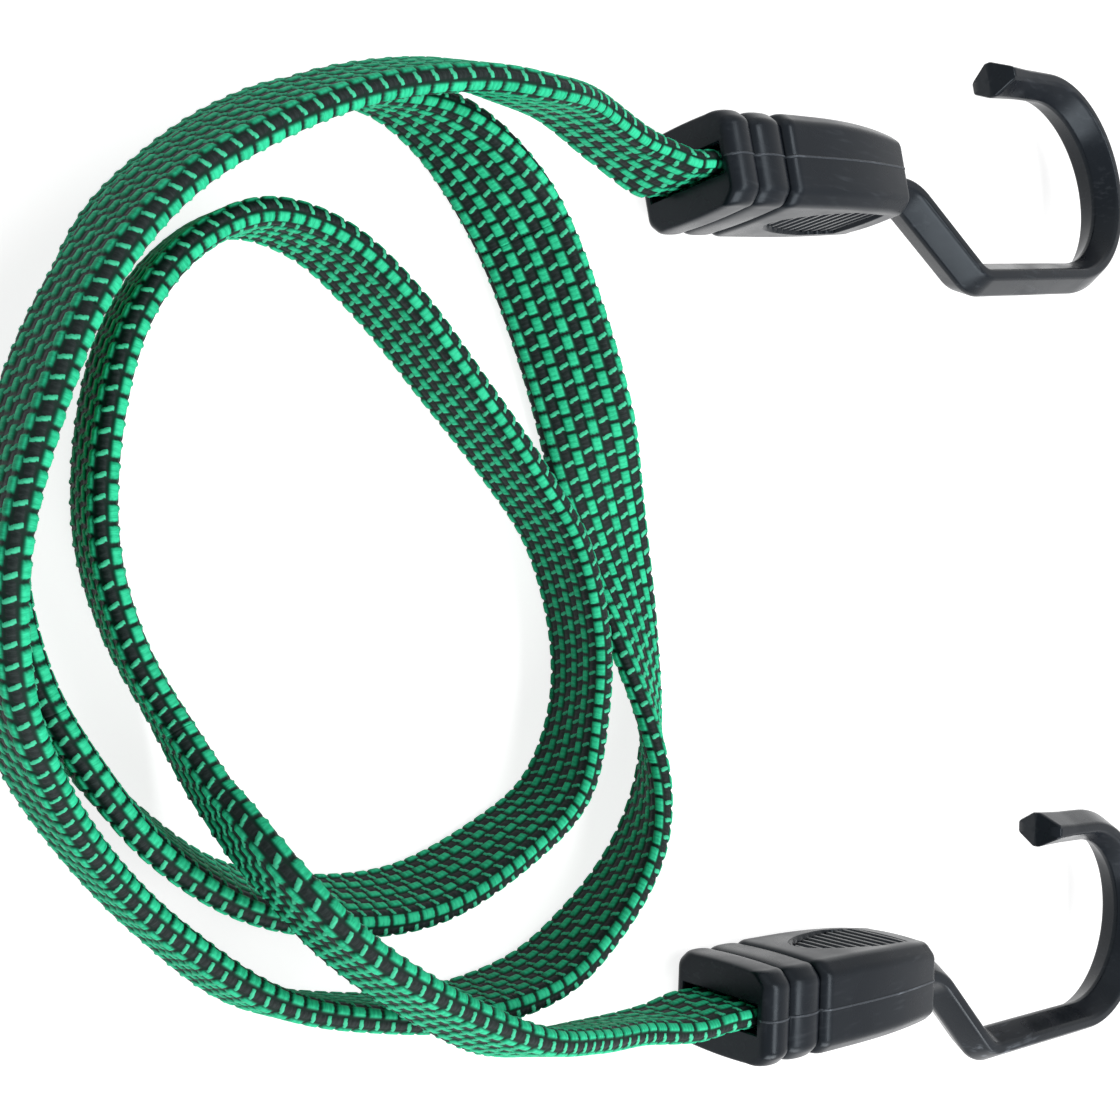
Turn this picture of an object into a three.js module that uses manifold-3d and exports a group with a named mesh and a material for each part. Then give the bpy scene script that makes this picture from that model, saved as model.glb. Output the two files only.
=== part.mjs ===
// A flat bungee cord lying in loops on a table, with a moulded plastic hook on each end.
// Millimetres, +Z up. The table is z = 0, and the origin lies on it below the middle of the hook ends.

import * as THREE from 'three';
import { mergeVertices } from 'three/addons/utils/BufferGeometryUtils.js';
import Module from 'manifold-3d';

const wasm = await Module();
wasm.setup();

// Clearance between pieces that touch.
const FIT_GAP = 0.3;

// Strap: a woven sheath round a flat core of rubber threads.
const STRAP_WIDTH = 16;
const STRAP_THICKNESS = 4.5;
const SHEATH_WALL = 0.75;
const STRAP_TAIL = 28;
const FLEX_LENGTH = 10;
const LEAD_LENGTH = 14;

// Crimp: a steel band round the strap's end.
const CRIMP_LENGTH = 8;
const CRIMP_WALL = 1;
const CRIMP_START = 18.5;

// Housing: two half shells, with two collars at the strap's mouth and a waisted grip.
const SIDE_WALL = 1.9;
const FACE_WALL = 4.3;
const HOUSING_CROWN = 0.2;
const HOUSING_CHAMFER = 2.1;
const MOUTH_CHAMFER = 1.7;
const MOUTH_SIDE_CHAMFER = 0.5;
const COLLAR_LENGTH = 6.4;
const COLLAR_PITCH = 7.9;
const COLLAR_COUNT = 2;
const COLLAR_INSET = 0.15;
const GROOVE_DROP = 1.1;
const GROOVE_RISE = 3;
const GROOVE_DEPTH = 1.45;
const BODY_LENGTH = 6.7;
const TAPER_BOW = 2.2;
const END_SIDE_WALL = 3.8;
const END_FACE_WALL = 3.7;
const END_OFFSET = -0.6;
const END_ROUND = 1.6;
const SLOT_CLEARANCE = 0.6;
const SLOT_FLARE = 0.7;
const POCKET_SLACK = 3;
const BULKHEAD = 3;
const SHANK_SEAT = 11.4;

// Grip: a ribbed recess, round toward the mouth and straight toward the hook, on each broad face.
const GRIP_MOUTH_MARGIN = 3.2;
const GRIP_HOOK_MARGIN = 5.5;
const GRIP_WIDTH = 15.5;
const GRIP_DEPTH = 1.8;
const RIB_COUNT = 11;
const RIB_HEIGHT = 1.1;
const RIB_CREST = 0.57;

// Hook: one moulding of flattened six-sided section, held by a head inside the housing.
const HOOK_HEIGHT = 9.6;
const RIDGE_THICKNESS = 6.8;
const RIDGE_FLAT = 0.8;
const EDGE_THICKNESS = 2.4;
const EDGE_BEVEL = 0.45;
const HEAD_LENGTH = 5;
const HEAD_SIDE_RIM = 3.4;
const HEAD_FACE_RIM = 0.4;
const SHANK_OFFSET = -1.2;
const SHANK_LENGTH = 8.6;
const ELBOW_LENGTH = 19.2;
const RUN_LENGTH = 37.5;
const SHANK_FILLET = 10.5;
const ELBOW_FILLET = 7;
const BEND_OFFSET = 2.5;
const BEND_RADIUS = 21.2;
const TIP_RUN = 15.3;
const TIP_FLARE = 0.3;
const TIP_LENGTH = 8;
const TIP_RISE = 1.65;

// Fineness of the facets, and of the measured gap.
const RING_STEP = 9;
const LINE_DIVISIONS = 2000;
const EDGE_ARC_STEPS = 4;
const CROWN_PLACES = [0.6, 0, -0.6];
const TAPER_STATIONS = 8;
const END_ROUND_STEPS = 3;
const GRIP_STEPS = 16;
const CRIMP_ARC_STEPS = 6;
const HOOK_ARC_STEP = THREE.MathUtils.degToRad(11);
const MERGE_DISTANCE = 1e-4;
const GAP_STEP = 2;
const GAP_NEIGHBOURS = 40;

// Hook ends as they lie: the middle of the strap's mouth, the turn about Z and the roll about
// the housing's length, in degrees.
const HOOK_ENDS = {
  a: { x: -73.6, y: 64.9, turn: 7.6, roll: -5.5 },
  b: { x: -66.3, y: -77.5, turn: -3.8, roll: 0 },
};

// Strap as it lies, from hook a to hook b: x, y, z of its middle, and its lean in degrees.
// The lean turns its width from upright toward the left of its way, so 180 has its edges swapped.
const ROUTE = [
  [-88, 67, 11.8, 5],
  [-102, 69.5, 15.5, 12],
  [-117.5, 67.5, 22.5, 16],
  [-131.5, 65.5, 25, 19],
  [-147.5, 60.5, 25, 18],
  [-162, 52.5, 25, 14],
  [-174, 42.5, 24.8, 8],
  [-183, 29.5, 24.8, 3],
  [-189, 14, 24.6, 2],
  [-191.5, 0, 23.5, 0],
  [-189.5, -13.5, 19.5, -3],
  [-183.5, -25.5, 13.5, -3],
  [-175.5, -36.5, 9.4, -3],
  [-166, -47, 8.2, 0],
  [-153, -58, 8.2, 6],
  [-138, -63.5, 8.2, 5],
  [-121, -66.5, 8.2, 2],
  [-104, -65, 8.2, 0],
  [-91.5, -58, 8.2, 6],
  [-82.5, -49, 8, 16],
  [-78, -38.5, 7.5, 31],
  [-77.5, -26.5, 6.5, 48],
  [-79.5, -13.5, 5, 66],
  [-82, 0, 3, 87],
  [-86.5, 12, 4.2, 107],
  [-91.5, 24, 6.2, 130],
  [-97.5, 38, 6.8, 138],
  [-104.5, 51, 7, 143],
  [-112, 59, 7.6, 158],
  [-120.5, 64.5, 8.1, 175],
  [-130, 67, 8.1, 190],
  [-141.5, 65.5, 8.1, 196],
  [-152.5, 60.5, 8.1, 192],
  [-163, 53, 8.2, 185],
  [-172.5, 43, 8.2, 178],
  [-179, 29, 8.1, 170],
  [-183, 14.5, 8, 165],
  [-184.5, 0, 8, 164],
  [-182, -13, 8, 166],
  [-176.5, -24, 8.1, 170],
  [-168, -34.5, 8.1, 167],
  [-156, -43.5, 8.1, 168],
  [-141, -48, 8.1, 167],
  [-126, -48.5, 8.1, 168],
  [-111, -43.5, 8.1, 173],
  [-100, -36.5, 8.1, 180],
  [-95, -25, 8.1, 191],
  [-94.5, -12, 8.1, 190],
  [-99, 2.5, 8.1, 187],
  [-108, 14, 8.1, 185],
  [-119, 25.5, 8.1, 182],
  [-130.5, 37, 8.1, 180],
  [-141.5, 44.5, 8.1, 182],
  [-153, 46, 8.1, 182],
  [-163, 40, 8.1, 176],
  [-170, 30, 8.1, 172],
  [-173.5, 17, 8.1, 170],
  [-174, 3, 8.1, 168],
  [-171, -9, 8.8, 166],
  [-166, -20, 11.2, 166],
  [-162, -30, 16.5, 170],
  [-157.5, -39, 24, 177],
  [-149.5, -48.5, 26.4, 183],
  [-138, -57.5, 26.4, 189],
  [-124, -66, 25.6, 195],
  [-108.5, -71.5, 19.5, 196],
  [-92.5, -75.5, 12.8, 193],
  [-79, -77.5, 11.4, 184],
];

// Bores and pockets follow the strap, and the housing's outside follows its walls round them.
const boreWidth = STRAP_WIDTH - 2 * SHEATH_WALL;
const boreThickness = STRAP_THICKNESS - 2 * SHEATH_WALL;
const slotWidth = STRAP_WIDTH + 2 * SLOT_CLEARANCE;
const slotThickness = STRAP_THICKNESS + 2 * SLOT_CLEARANCE;
const crimpBoreWidth = STRAP_WIDTH + 2 * FIT_GAP;
const crimpBoreThickness = STRAP_THICKNESS + 2 * FIT_GAP;
const crimpWidth = crimpBoreWidth + 2 * CRIMP_WALL;
const crimpThickness = crimpBoreThickness + 2 * CRIMP_WALL;
const pocketWidth = crimpWidth + 2 * FIT_GAP;
const pocketThickness = crimpThickness + 2 * FIT_GAP;
const housingWidth = pocketWidth + 2 * SIDE_WALL;
const housingThickness = pocketThickness + 2 * FACE_WALL;
const endWidth = HOOK_HEIGHT + 2 * (FIT_GAP + END_SIDE_WALL);
const endThickness = RIDGE_THICKNESS + 2 * (FIT_GAP + END_FACE_WALL);
const headWidth = HOOK_HEIGHT + 2 * HEAD_SIDE_RIM;
const headThickness = RIDGE_THICKNESS + 2 * HEAD_FACE_RIM;

// Places along a hook end, from the strap's mouth.
const pocketStart = CRIMP_START - FIT_GAP;
const pocketEnd = Math.max(CRIMP_START + CRIMP_LENGTH, STRAP_TAIL) + POCKET_SLACK;
const headStart = pocketEnd + BULKHEAD + FIT_GAP;
const headEnd = headStart + HEAD_LENGTH;
const housingLength = headEnd + FIT_GAP + SHANK_SEAT;
const collarsEnd = COLLAR_LENGTH + (COLLAR_COUNT - 1) * COLLAR_PITCH + GROOVE_RISE;
const taperStart = collarsEnd + BODY_LENGTH;
const gripStart = collarsEnd + GRIP_MOUTH_MARGIN;
const gripEnd = housingLength - GRIP_HOOK_MARGIN;
const shankCorner = housingLength + SHANK_LENGTH;
const elbowCorner = shankCorner + ELBOW_LENGTH;
const bendCentre = elbowCorner + RUN_LENGTH;
const tipEnd = bendCentre - TIP_RUN;

const materials = {
  sheath: new THREE.MeshStandardMaterial({ color: 0x1f9a68, roughness: 0.85 }),
  rubber: new THREE.MeshStandardMaterial({ color: 0x22211f, roughness: 0.9 }),
  plastic: new THREE.MeshStandardMaterial({ color: 0x34393c, roughness: 0.5 }),
  steel: new THREE.MeshStandardMaterial({ color: 0xa9adb0, roughness: 0.35, metalness: 1 }),
};

// Joins rings of points into a closed surface. The ends are capped, the last one at a point of its own
// where it has one, unless the last ring joins the first.
function loft(rings, { joined = false, peak = middle(rings.at(-1)) } = {}) {
  const sides = rings[0].length;
  const points = rings.flat();
  const triangles = [];
  const spans = joined ? rings.length : rings.length - 1;
  for (let i = 0; i < spans; i += 1) {
    const here = i * sides;
    const next = ((i + 1) % rings.length) * sides;
    for (let j = 0; j < sides; j += 1) {
      const k = (j + 1) % sides;
      triangles.push(here + j, here + k, next + k, here + j, next + k, next + j);
    }
  }
  if (!joined) {
    const last = (rings.length - 1) * sides;
    const start = points.push(middle(rings[0])) - 1;
    const end = points.push(peak) - 1;
    for (let j = 0; j < sides; j += 1) {
      const k = (j + 1) % sides;
      triangles.push(start, k, j, end, last + j, last + k);
    }
  }
  const geometry = new THREE.BufferGeometry().setFromPoints(points);
  geometry.setIndex(enclosedVolume(points, triangles) < 0 ? triangles.reverse() : triangles);
  return geometry;
}

function middle(ring) {
  return ring.reduce((sum, point) => sum.add(point), new THREE.Vector3()).divideScalar(ring.length);
}

function enclosedVolume(points, triangles) {
  let volume = 0;
  for (let i = 0; i < triangles.length; i += 3) {
    const [a, b, c] = [0, 1, 2].map((corner) => points[triangles[i + corner]]);
    volume += a.dot(new THREE.Vector3().crossVectors(b, c)) / 6;
  }
  return volume;
}

// A closed geometry as a solid that can be joined and cut.
function solid(geometry) {
  const bare = geometry.clone();
  bare.deleteAttribute('normal');
  bare.deleteAttribute('uv');
  const merged = mergeVertices(bare, MERGE_DISTANCE);
  return new wasm.Manifold(new wasm.Mesh({
    numProp: 3,
    vertProperties: merged.attributes.position.array,
    triVerts: new Uint32Array(merged.index.array),
  }));
}

function geometryOf(body) {
  const { vertProperties, triVerts } = body.getMesh();
  const geometry = new THREE.BufferGeometry();
  geometry.setAttribute('position', new THREE.BufferAttribute(new Float32Array(vertProperties), 3));
  geometry.setIndex(new THREE.BufferAttribute(new Uint32Array(triVerts), 1));
  return geometry;
}

// A block along X from start to end, by its thickness in Y and width in Z.
function block(start, end, thickness, width, offset = 0) {
  const geometry = new THREE.BoxGeometry(end - start, thickness, width);
  return geometry.translate((start + end) / 2, offset, 0);
}

// Points round a rectangle with chamfered corners in the YZ plane at x.
// Its broad faces swell by the crown.
function chamferedRing(x, thickness, width, chamfer, { offset = 0, crown = 0 } = {}) {
  const broad = thickness / 2;
  const narrow = width / 2;
  const ring = [];
  for (const [sideY, sideZ] of [[1, 1], [-1, 1], [-1, -1], [1, -1]]) {
    const onFace = new THREE.Vector3(x, sideY * broad + offset, sideZ * (narrow - chamfer));
    const onSide = new THREE.Vector3(x, sideY * (broad - chamfer) + offset, sideZ * narrow);
    ring.push(...(sideY * sideZ > 0 ? [onFace, onSide] : [onSide, onFace]));
    if (crown > 0 && sideY * sideZ < 0) {
      for (const place of CROWN_PLACES) {
        const y = sideY * (broad + crown * (1 - place ** 2));
        ring.push(new THREE.Vector3(x, y + offset, sideZ * place * (narrow - chamfer)));
      }
    }
  }
  return ring;
}

// Thickness, width and sideways shift of the housing at x, before grooves and chamfers.
function housingSize(x) {
  const way = THREE.MathUtils.clamp((x - taperStart) / (housingLength - taperStart), 0, 1);
  const bow = way ** TAPER_BOW;
  return {
    thickness: THREE.MathUtils.lerp(housingThickness, endThickness, bow),
    width: THREE.MathUtils.lerp(housingWidth, endWidth, bow),
    offset: END_OFFSET * bow,
  };
}

function housingRing(x, inset, sideInset = inset) {
  const { thickness, width, offset } = housingSize(x);
  const shape = { offset, crown: HOUSING_CROWN };
  return chamferedRing(x, thickness - 2 * inset, width - 2 * sideInset, HOUSING_CHAMFER, shape);
}

// The housing's outer form, with its collars, grooves and waisted body.
function housingForm() {
  const rings = [housingRing(0, MOUTH_CHAMFER, MOUTH_SIDE_CHAMFER)];
  rings.push(housingRing(MOUTH_CHAMFER, COLLAR_INSET));
  for (let i = 0; i < COLLAR_COUNT; i += 1) {
    const groove = COLLAR_LENGTH + i * COLLAR_PITCH;
    const after = i + 1 < COLLAR_COUNT ? COLLAR_INSET : 0;
    rings.push(housingRing(groove - GROOVE_DROP, COLLAR_INSET));
    rings.push(housingRing(groove, GROOVE_DEPTH));
    rings.push(housingRing(groove + GROOVE_RISE, after));
  }
  const roundStart = housingLength - END_ROUND;
  for (let i = 0; i <= TAPER_STATIONS; i += 1) {
    rings.push(housingRing(THREE.MathUtils.lerp(taperStart, roundStart, i / TAPER_STATIONS), 0));
  }
  for (let i = 1; i <= END_ROUND_STEPS; i += 1) {
    const angle = (i / END_ROUND_STEPS) * Math.PI / 2;
    const x = roundStart + END_ROUND * Math.sin(angle);
    rings.push(housingRing(x, END_ROUND * (1 - Math.cos(angle))));
  }
  return solid(loft(rings));
}

// Inside of the housing: the strap's slot, the crimp's pocket, and the seat of the hook's head.
function housingHollow() {
  const flareRings = [
    chamferedRing(-FIT_GAP, slotThickness + 2 * SLOT_FLARE, slotWidth + 2 * SLOT_FLARE, FIT_GAP),
    chamferedRing(SLOT_FLARE, slotThickness, slotWidth, FIT_GAP),
  ];
  const shankEnds = [headEnd, housingLength + FIT_GAP];
  const shankRings = shankEnds.map((x) => hookRing(x, SHANK_OFFSET, 0, FIT_GAP));
  const slot = block(-FIT_GAP, pocketStart + FIT_GAP, slotThickness, slotWidth);
  const pocket = block(pocketStart, pocketEnd, pocketThickness, pocketWidth);
  const seat = hookHead(FIT_GAP);
  return [loft(flareRings), pocket, seat, loft(shankRings)]
    .reduce((hollow, space) => hollow.add(solid(space)), solid(slot));
}

// The grip's outline is half an ellipse, raised from its floor to well outside the broad face.
function gripSpace(side) {
  const { thickness, offset } = housingSize((gripStart + gripEnd) / 2);
  const floor = thickness / 2 + HOUSING_CROWN + side * offset - GRIP_DEPTH;
  const outline = new THREE.Shape();
  outline.absellipse(gripEnd, 0, gripEnd - gripStart, GRIP_WIDTH / 2, Math.PI / 2, 1.5 * Math.PI);
  const raise = { depth: housingThickness, bevelEnabled: false, curveSegments: GRIP_STEPS };
  const space = new THREE.ExtrudeGeometry(outline, raise);
  space.rotateX(-side * Math.PI / 2);
  space.translate(0, side * floor, 0);
  return { floor, space: solid(space) };
}

function gripRibs(side, floor) {
  const pitch = (gripEnd - gripStart) / RIB_COUNT;
  const profile = new THREE.Shape();
  profile.moveTo(-pitch / 2, -FIT_GAP);
  profile.lineTo(pitch / 2, -FIT_GAP);
  profile.lineTo(RIB_CREST / 2, RIB_HEIGHT);
  profile.lineTo(-RIB_CREST / 2, RIB_HEIGHT);
  const ribs = [];
  for (let i = 0; i < RIB_COUNT; i += 1) {
    const rib = new THREE.ExtrudeGeometry(profile, { depth: GRIP_WIDTH, bevelEnabled: false });
    rib.translate(gripStart + (i + 0.5) * pitch, floor, -GRIP_WIDTH / 2);
    rib.rotateX(side > 0 ? 0 : Math.PI);
    ribs.push(solid(rib));
  }
  return ribs;
}

// One half of the housing, on the side of +Y or of -Y.
function shellGeometry(side) {
  const half = block(-housingLength, 2 * housingLength, housingThickness, 2 * housingWidth);
  half.translate(0, side * (housingThickness + FIT_GAP) / 2, 0);
  const { floor, space } = gripSpace(side);
  const form = housingForm().intersect(solid(half));
  let shell = form.subtract(space);
  for (const rib of gripRibs(side, floor)) {
    shell = shell.add(rib.intersect(form));
  }
  return geometryOf(shell.subtract(housingHollow()));
}

// Points round the hook's section at x, y, square to a way turned by the angle in the XY plane.
function hookRing(x, y, angle, grow = 0) {
  const edge = EDGE_THICKNESS / 2;
  const ridge = RIDGE_THICKNESS / 2;
  const top = HOOK_HEIGHT / 2;
  const quarter = [[ridge, RIDGE_FLAT / 2], [edge, top - EDGE_BEVEL], [edge - EDGE_BEVEL, top]];
  const mirrored = [...quarter].reverse().map(([across, up]) => [-across, up]);
  const upper = [...quarter, ...mirrored];
  const section = [...upper, ...upper.map(([across, up]) => [-across, -up])];
  return section.map(([across, up]) => {
    const out = across + Math.sign(across) * grow;
    const z = up + Math.sign(up) * grow;
    return new THREE.Vector3(x - out * Math.sin(angle), y + out * Math.cos(angle), z);
  });
}

// The hook's middle line: straight out of the housing, aside at the elbow, and round the bend.
function hookLine() {
  const runOffset = BEND_OFFSET - BEND_RADIUS;
  const slope = Math.atan2(SHANK_OFFSET - runOffset, ELBOW_LENGTH);
  const turnStart = shankCorner - SHANK_FILLET * Math.tan(slope / 2);
  const turnEnd = elbowCorner + ELBOW_FILLET * Math.tan(slope / 2);
  const quarter = Math.PI / 2;
  const line = new THREE.Path();
  line.moveTo(headStart, SHANK_OFFSET);
  line.lineTo(turnStart, SHANK_OFFSET);
  line.absarc(turnStart, SHANK_OFFSET - SHANK_FILLET, SHANK_FILLET, quarter, quarter - slope, true);
  line.absarc(turnEnd, runOffset + ELBOW_FILLET, ELBOW_FILLET, 3 * quarter - slope, 3 * quarter);
  line.absarc(bendCentre, BEND_OFFSET, BEND_RADIUS, -quarter, quarter);
  line.lineTo(tipEnd + TIP_LENGTH, BEND_OFFSET + BEND_RADIUS);
  return line;
}

// The block that holds the hook in the housing, and with some room round it, its seat there.
function hookHead(room = 0) {
  const thickness = headThickness + 2 * room;
  return block(headStart - room, headEnd + room, thickness, headWidth + 2 * room, SHANK_OFFSET);
}

// The hook flares toward its tip, which ends in two slopes like a roof.
function hookGeometry() {
  const rings = [];
  for (const curve of hookLine().curves) {
    const turned = curve.isEllipseCurve ? curve.getLength() / curve.xRadius : 0;
    const steps = Math.max(Math.ceil(turned / HOOK_ARC_STEP), 1);
    for (let i = rings.length ? 1 : 0; i <= steps; i += 1) {
      const { x, y } = curve.getPoint(i / steps);
      const way = curve.getTangent(i / steps);
      rings.push(hookRing(x, y, Math.atan2(way.y, way.x)));
    }
  }
  const tipOffset = BEND_OFFSET + BEND_RADIUS;
  const tipTop = HOOK_HEIGHT / 2 + TIP_FLARE;
  const tipRing = hookRing(tipEnd, tipOffset, Math.PI, TIP_FLARE);
  for (const point of tipRing) {
    point.x -= TIP_RISE * (1 - Math.abs(point.z) / tipTop);
  }
  rings.push(tipRing);
  const peak = new THREE.Vector3(tipEnd - TIP_RISE, tipOffset, 0);
  return geometryOf(solid(loft(rings, { peak })).add(solid(hookHead())));
}

function crimpGeometry() {
  const outline = new THREE.Shape();
  const opening = new THREE.Path();
  stadium(outline, crimpWidth, crimpThickness);
  stadium(opening, crimpBoreWidth, crimpBoreThickness);
  outline.holes.push(opening);
  const draw = { depth: CRIMP_LENGTH, bevelEnabled: false, curveSegments: CRIMP_ARC_STEPS };
  const band = new THREE.ExtrudeGeometry(outline, draw);
  return band.rotateY(Math.PI / 2).translate(CRIMP_START, 0, 0);
}

function stadium(path, width, thickness) {
  const radius = thickness / 2;
  const reach = width / 2 - radius;
  path.absarc(reach, 0, radius, -Math.PI / 2, Math.PI / 2);
  path.absarc(-reach, 0, radius, Math.PI / 2, 1.5 * Math.PI);
  path.closePath();
}

// Height of a housing's middle when it lies on its side, rolled by some degrees.
function restHeight(roll) {
  const angle = THREE.MathUtils.degToRad(Math.abs(roll));
  const sideways = (housingThickness / 2 - HOUSING_CHAMFER) * Math.sin(angle);
  return (housingWidth / 2) * Math.cos(angle) + sideways;
}

// The strap's middle line and lean, with its straight ends inside the housings.
function hookPoint({ x, y, turn, roll }, inward) {
  const angle = THREE.MathUtils.degToRad(turn);
  return [x + inward * Math.cos(angle), y + inward * Math.sin(angle), restHeight(roll)];
}

const tailSteps = [STRAP_TAIL, STRAP_TAIL / 2, 0, -FLEX_LENGTH / 2];
const stations = [
  ...tailSteps.map((inward) => [...hookPoint(HOOK_ENDS.a, inward), HOOK_ENDS.a.roll]),
  ...ROUTE,
  ...tailSteps.map((inward) => [...hookPoint(HOOK_ENDS.b, inward), 180 - HOOK_ENDS.b.roll]).reverse(),
];
const places = stations.map(([x, y, z]) => new THREE.Vector3(x, y, z));
const leans = stations.map((station) => new THREE.Vector3(THREE.MathUtils.degToRad(station[3]), 0, 0));
const middleLine = new THREE.CatmullRomCurve3(places, false, 'catmullrom');
const leanLine = new THREE.CatmullRomCurve3(leans, false, 'catmullrom');
middleLine.arcLengthDivisions = LINE_DIVISIONS;

// The strap's place at a length along it: its middle, its way, and its width and thickness directions.
function strapFrame(length) {
  const way = middleLine.getUtoTmapping(0, THREE.MathUtils.clamp(length, 0, middleLine.getLength()));
  const point = middleLine.getPoint(way);
  const along = middleLine.getTangent(way);
  const lean = leanLine.getPoint(way).x;
  const left = new THREE.Vector3(-along.y, along.x, 0).normalize();
  const up = new THREE.Vector3().crossVectors(along, left);
  const width = up.clone().multiplyScalar(Math.cos(lean)).addScaledVector(left, Math.sin(lean));
  const through = new THREE.Vector3().crossVectors(width, along);
  return { point, along, width, through };
}

function strapRing(frame, width, thickness) {
  const radius = thickness / 2;
  const ring = [];
  for (const side of [1, -1]) {
    for (let i = 0; i <= EDGE_ARC_STEPS; i += 1) {
      const angle = Math.PI * (i / EDGE_ARC_STEPS - 0.5);
      const across = side * (width / 2 - radius + radius * Math.cos(angle));
      const point = frame.point.clone().addScaledVector(frame.width, across);
      ring.push(point.addScaledVector(frame.through, side * radius * Math.sin(angle)));
    }
  }
  return ring;
}

function strapFrames(start, end) {
  const steps = Math.ceil((end - start) / RING_STEP);
  const lengths = Array.from({ length: steps + 1 }, (_, i) => THREE.MathUtils.lerp(start, end, i / steps));
  return lengths.map(strapFrame);
}

// The woven sheath is a flat tube, and the core fills it.
function sheathGeometry(start, end) {
  const frames = strapFrames(start, end);
  const outside = frames.map((frame) => strapRing(frame, STRAP_WIDTH, STRAP_THICKNESS));
  const inside = frames.map((frame) => strapRing(frame, boreWidth, boreThickness));
  return loft([...outside, ...inside.reverse()], { joined: true });
}

function coreGeometry(start, end) {
  const frames = strapFrames(start, end).reverse();
  const width = boreWidth - 2 * FIT_GAP;
  const thickness = boreThickness - 2 * FIT_GAP;
  return loft(frames.map((frame) => strapRing(frame, width, thickness)));
}

// Least gap between stretches of the strap that lie beside or over one another.
function leastGap() {
  const count = Math.floor(middleLine.getLength() / GAP_STEP);
  const frames = Array.from({ length: count }, (_, i) => strapFrame(i * GAP_STEP));
  const radius = STRAP_THICKNESS / 2;
  const neighbours = GAP_NEIGHBOURS / GAP_STEP;
  let least = Infinity;
  frames.forEach((frame, i) => {
    const edge = strapRing(frame, STRAP_WIDTH, STRAP_THICKNESS);
    frames.forEach((other, j) => {
      if (Math.abs(i - j) < neighbours || frame.point.distanceTo(other.point) > 2 * STRAP_WIDTH) return;
      for (const point of edge) {
        const offset = point.clone().sub(other.point);
        if (Math.abs(offset.dot(other.along)) > GAP_STEP / 2) continue;
        const across = Math.max(Math.abs(offset.dot(other.width)) - (STRAP_WIDTH / 2 - radius), 0);
        least = Math.min(least, Math.hypot(across, offset.dot(other.through)) - radius);
      }
    });
  });
  return least;
}

function mesh(name, geometry, material) {
  const piece = new THREE.Mesh(geometry, material);
  piece.name = name;
  return piece;
}

// The pieces of one hook end, about the middle of its mouth, with its length along +X.
function hookEnd(end) {
  const group = new THREE.Group();
  const { x, y, turn, roll } = HOOK_ENDS[end];
  group.position.set(x, y, restHeight(roll));
  group.rotation.set(THREE.MathUtils.degToRad(roll), 0, THREE.MathUtils.degToRad(turn), 'ZYX');
  group.add(
    mesh(`shell_far_${end}`, shellGeometry(1), materials.plastic),
    mesh(`shell_near_${end}`, shellGeometry(-1), materials.plastic),
    mesh(`hook_${end}`, hookGeometry(), materials.plastic),
    mesh(`crimp_${end}`, crimpGeometry(), materials.steel),
  );
  return group;
}

// The strap in its stretches: gripped ends, leads that pull out, and the loops between.
function strap() {
  const total = middleLine.getLength();
  const flex = STRAP_TAIL + FLEX_LENGTH;
  const lead = flex + LEAD_LENGTH;
  const cut = FIT_GAP / 2;
  const stretches = {
    end_a: [0, flex - cut],
    lead_a: [flex + cut, lead - cut],
    loops: [lead + cut, total - lead - cut],
    lead_b: [total - lead + cut, total - flex - cut],
    end_b: [total - flex + cut, total],
  };
  const group = new THREE.Group();
  for (const [name, [start, end]] of Object.entries(stretches)) {
    group.add(mesh(`sheath_${name}`, sheathGeometry(start, end), materials.sheath));
    group.add(mesh(`core_${name}`, coreGeometry(start, end), materials.rubber));
  }
  return group;
}

const bungeeCord = new THREE.Group();
bungeeCord.add(hookEnd('a'), hookEnd('b'), strap());

const freeLength = middleLine.getLength() - 2 * STRAP_TAIL;
console.log(`strap outside the hooks: ${freeLength.toFixed(0)} mm`);
console.log(`least gap of the strap to itself: ${leastGap().toFixed(2)} mm`);

export default bungeeCord;
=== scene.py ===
"""A flat bungee cord in loose loops on a table, with a moulded hook clamped on each end.

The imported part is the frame. The strap is drawn as a woven tube along the same route, and the hook
ends as lofted mouldings in the same places. Lengths are in metres and angles in degrees.
"""

import logging
from dataclasses import dataclass, field
from enum import Enum

import bpy
import numpy as np
from mathutils import Matrix
from numpy.typing import NDArray


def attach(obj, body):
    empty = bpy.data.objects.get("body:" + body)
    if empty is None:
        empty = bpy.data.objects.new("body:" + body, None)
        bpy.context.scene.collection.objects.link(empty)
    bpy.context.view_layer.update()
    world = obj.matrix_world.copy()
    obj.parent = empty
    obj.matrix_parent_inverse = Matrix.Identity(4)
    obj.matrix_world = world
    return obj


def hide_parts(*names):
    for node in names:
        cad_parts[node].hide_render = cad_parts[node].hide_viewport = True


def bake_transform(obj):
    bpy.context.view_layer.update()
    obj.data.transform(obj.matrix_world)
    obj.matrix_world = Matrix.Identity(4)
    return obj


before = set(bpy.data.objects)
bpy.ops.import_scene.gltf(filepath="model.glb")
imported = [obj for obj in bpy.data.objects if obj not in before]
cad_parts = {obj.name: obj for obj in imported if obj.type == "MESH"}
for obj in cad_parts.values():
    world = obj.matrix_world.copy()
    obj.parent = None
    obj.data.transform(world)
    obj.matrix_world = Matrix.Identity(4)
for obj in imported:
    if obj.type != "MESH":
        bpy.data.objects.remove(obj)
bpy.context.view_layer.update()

Array = NDArray[np.float64]
log = logging.getLogger("bungee_cord")

MM = 0.001

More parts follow.
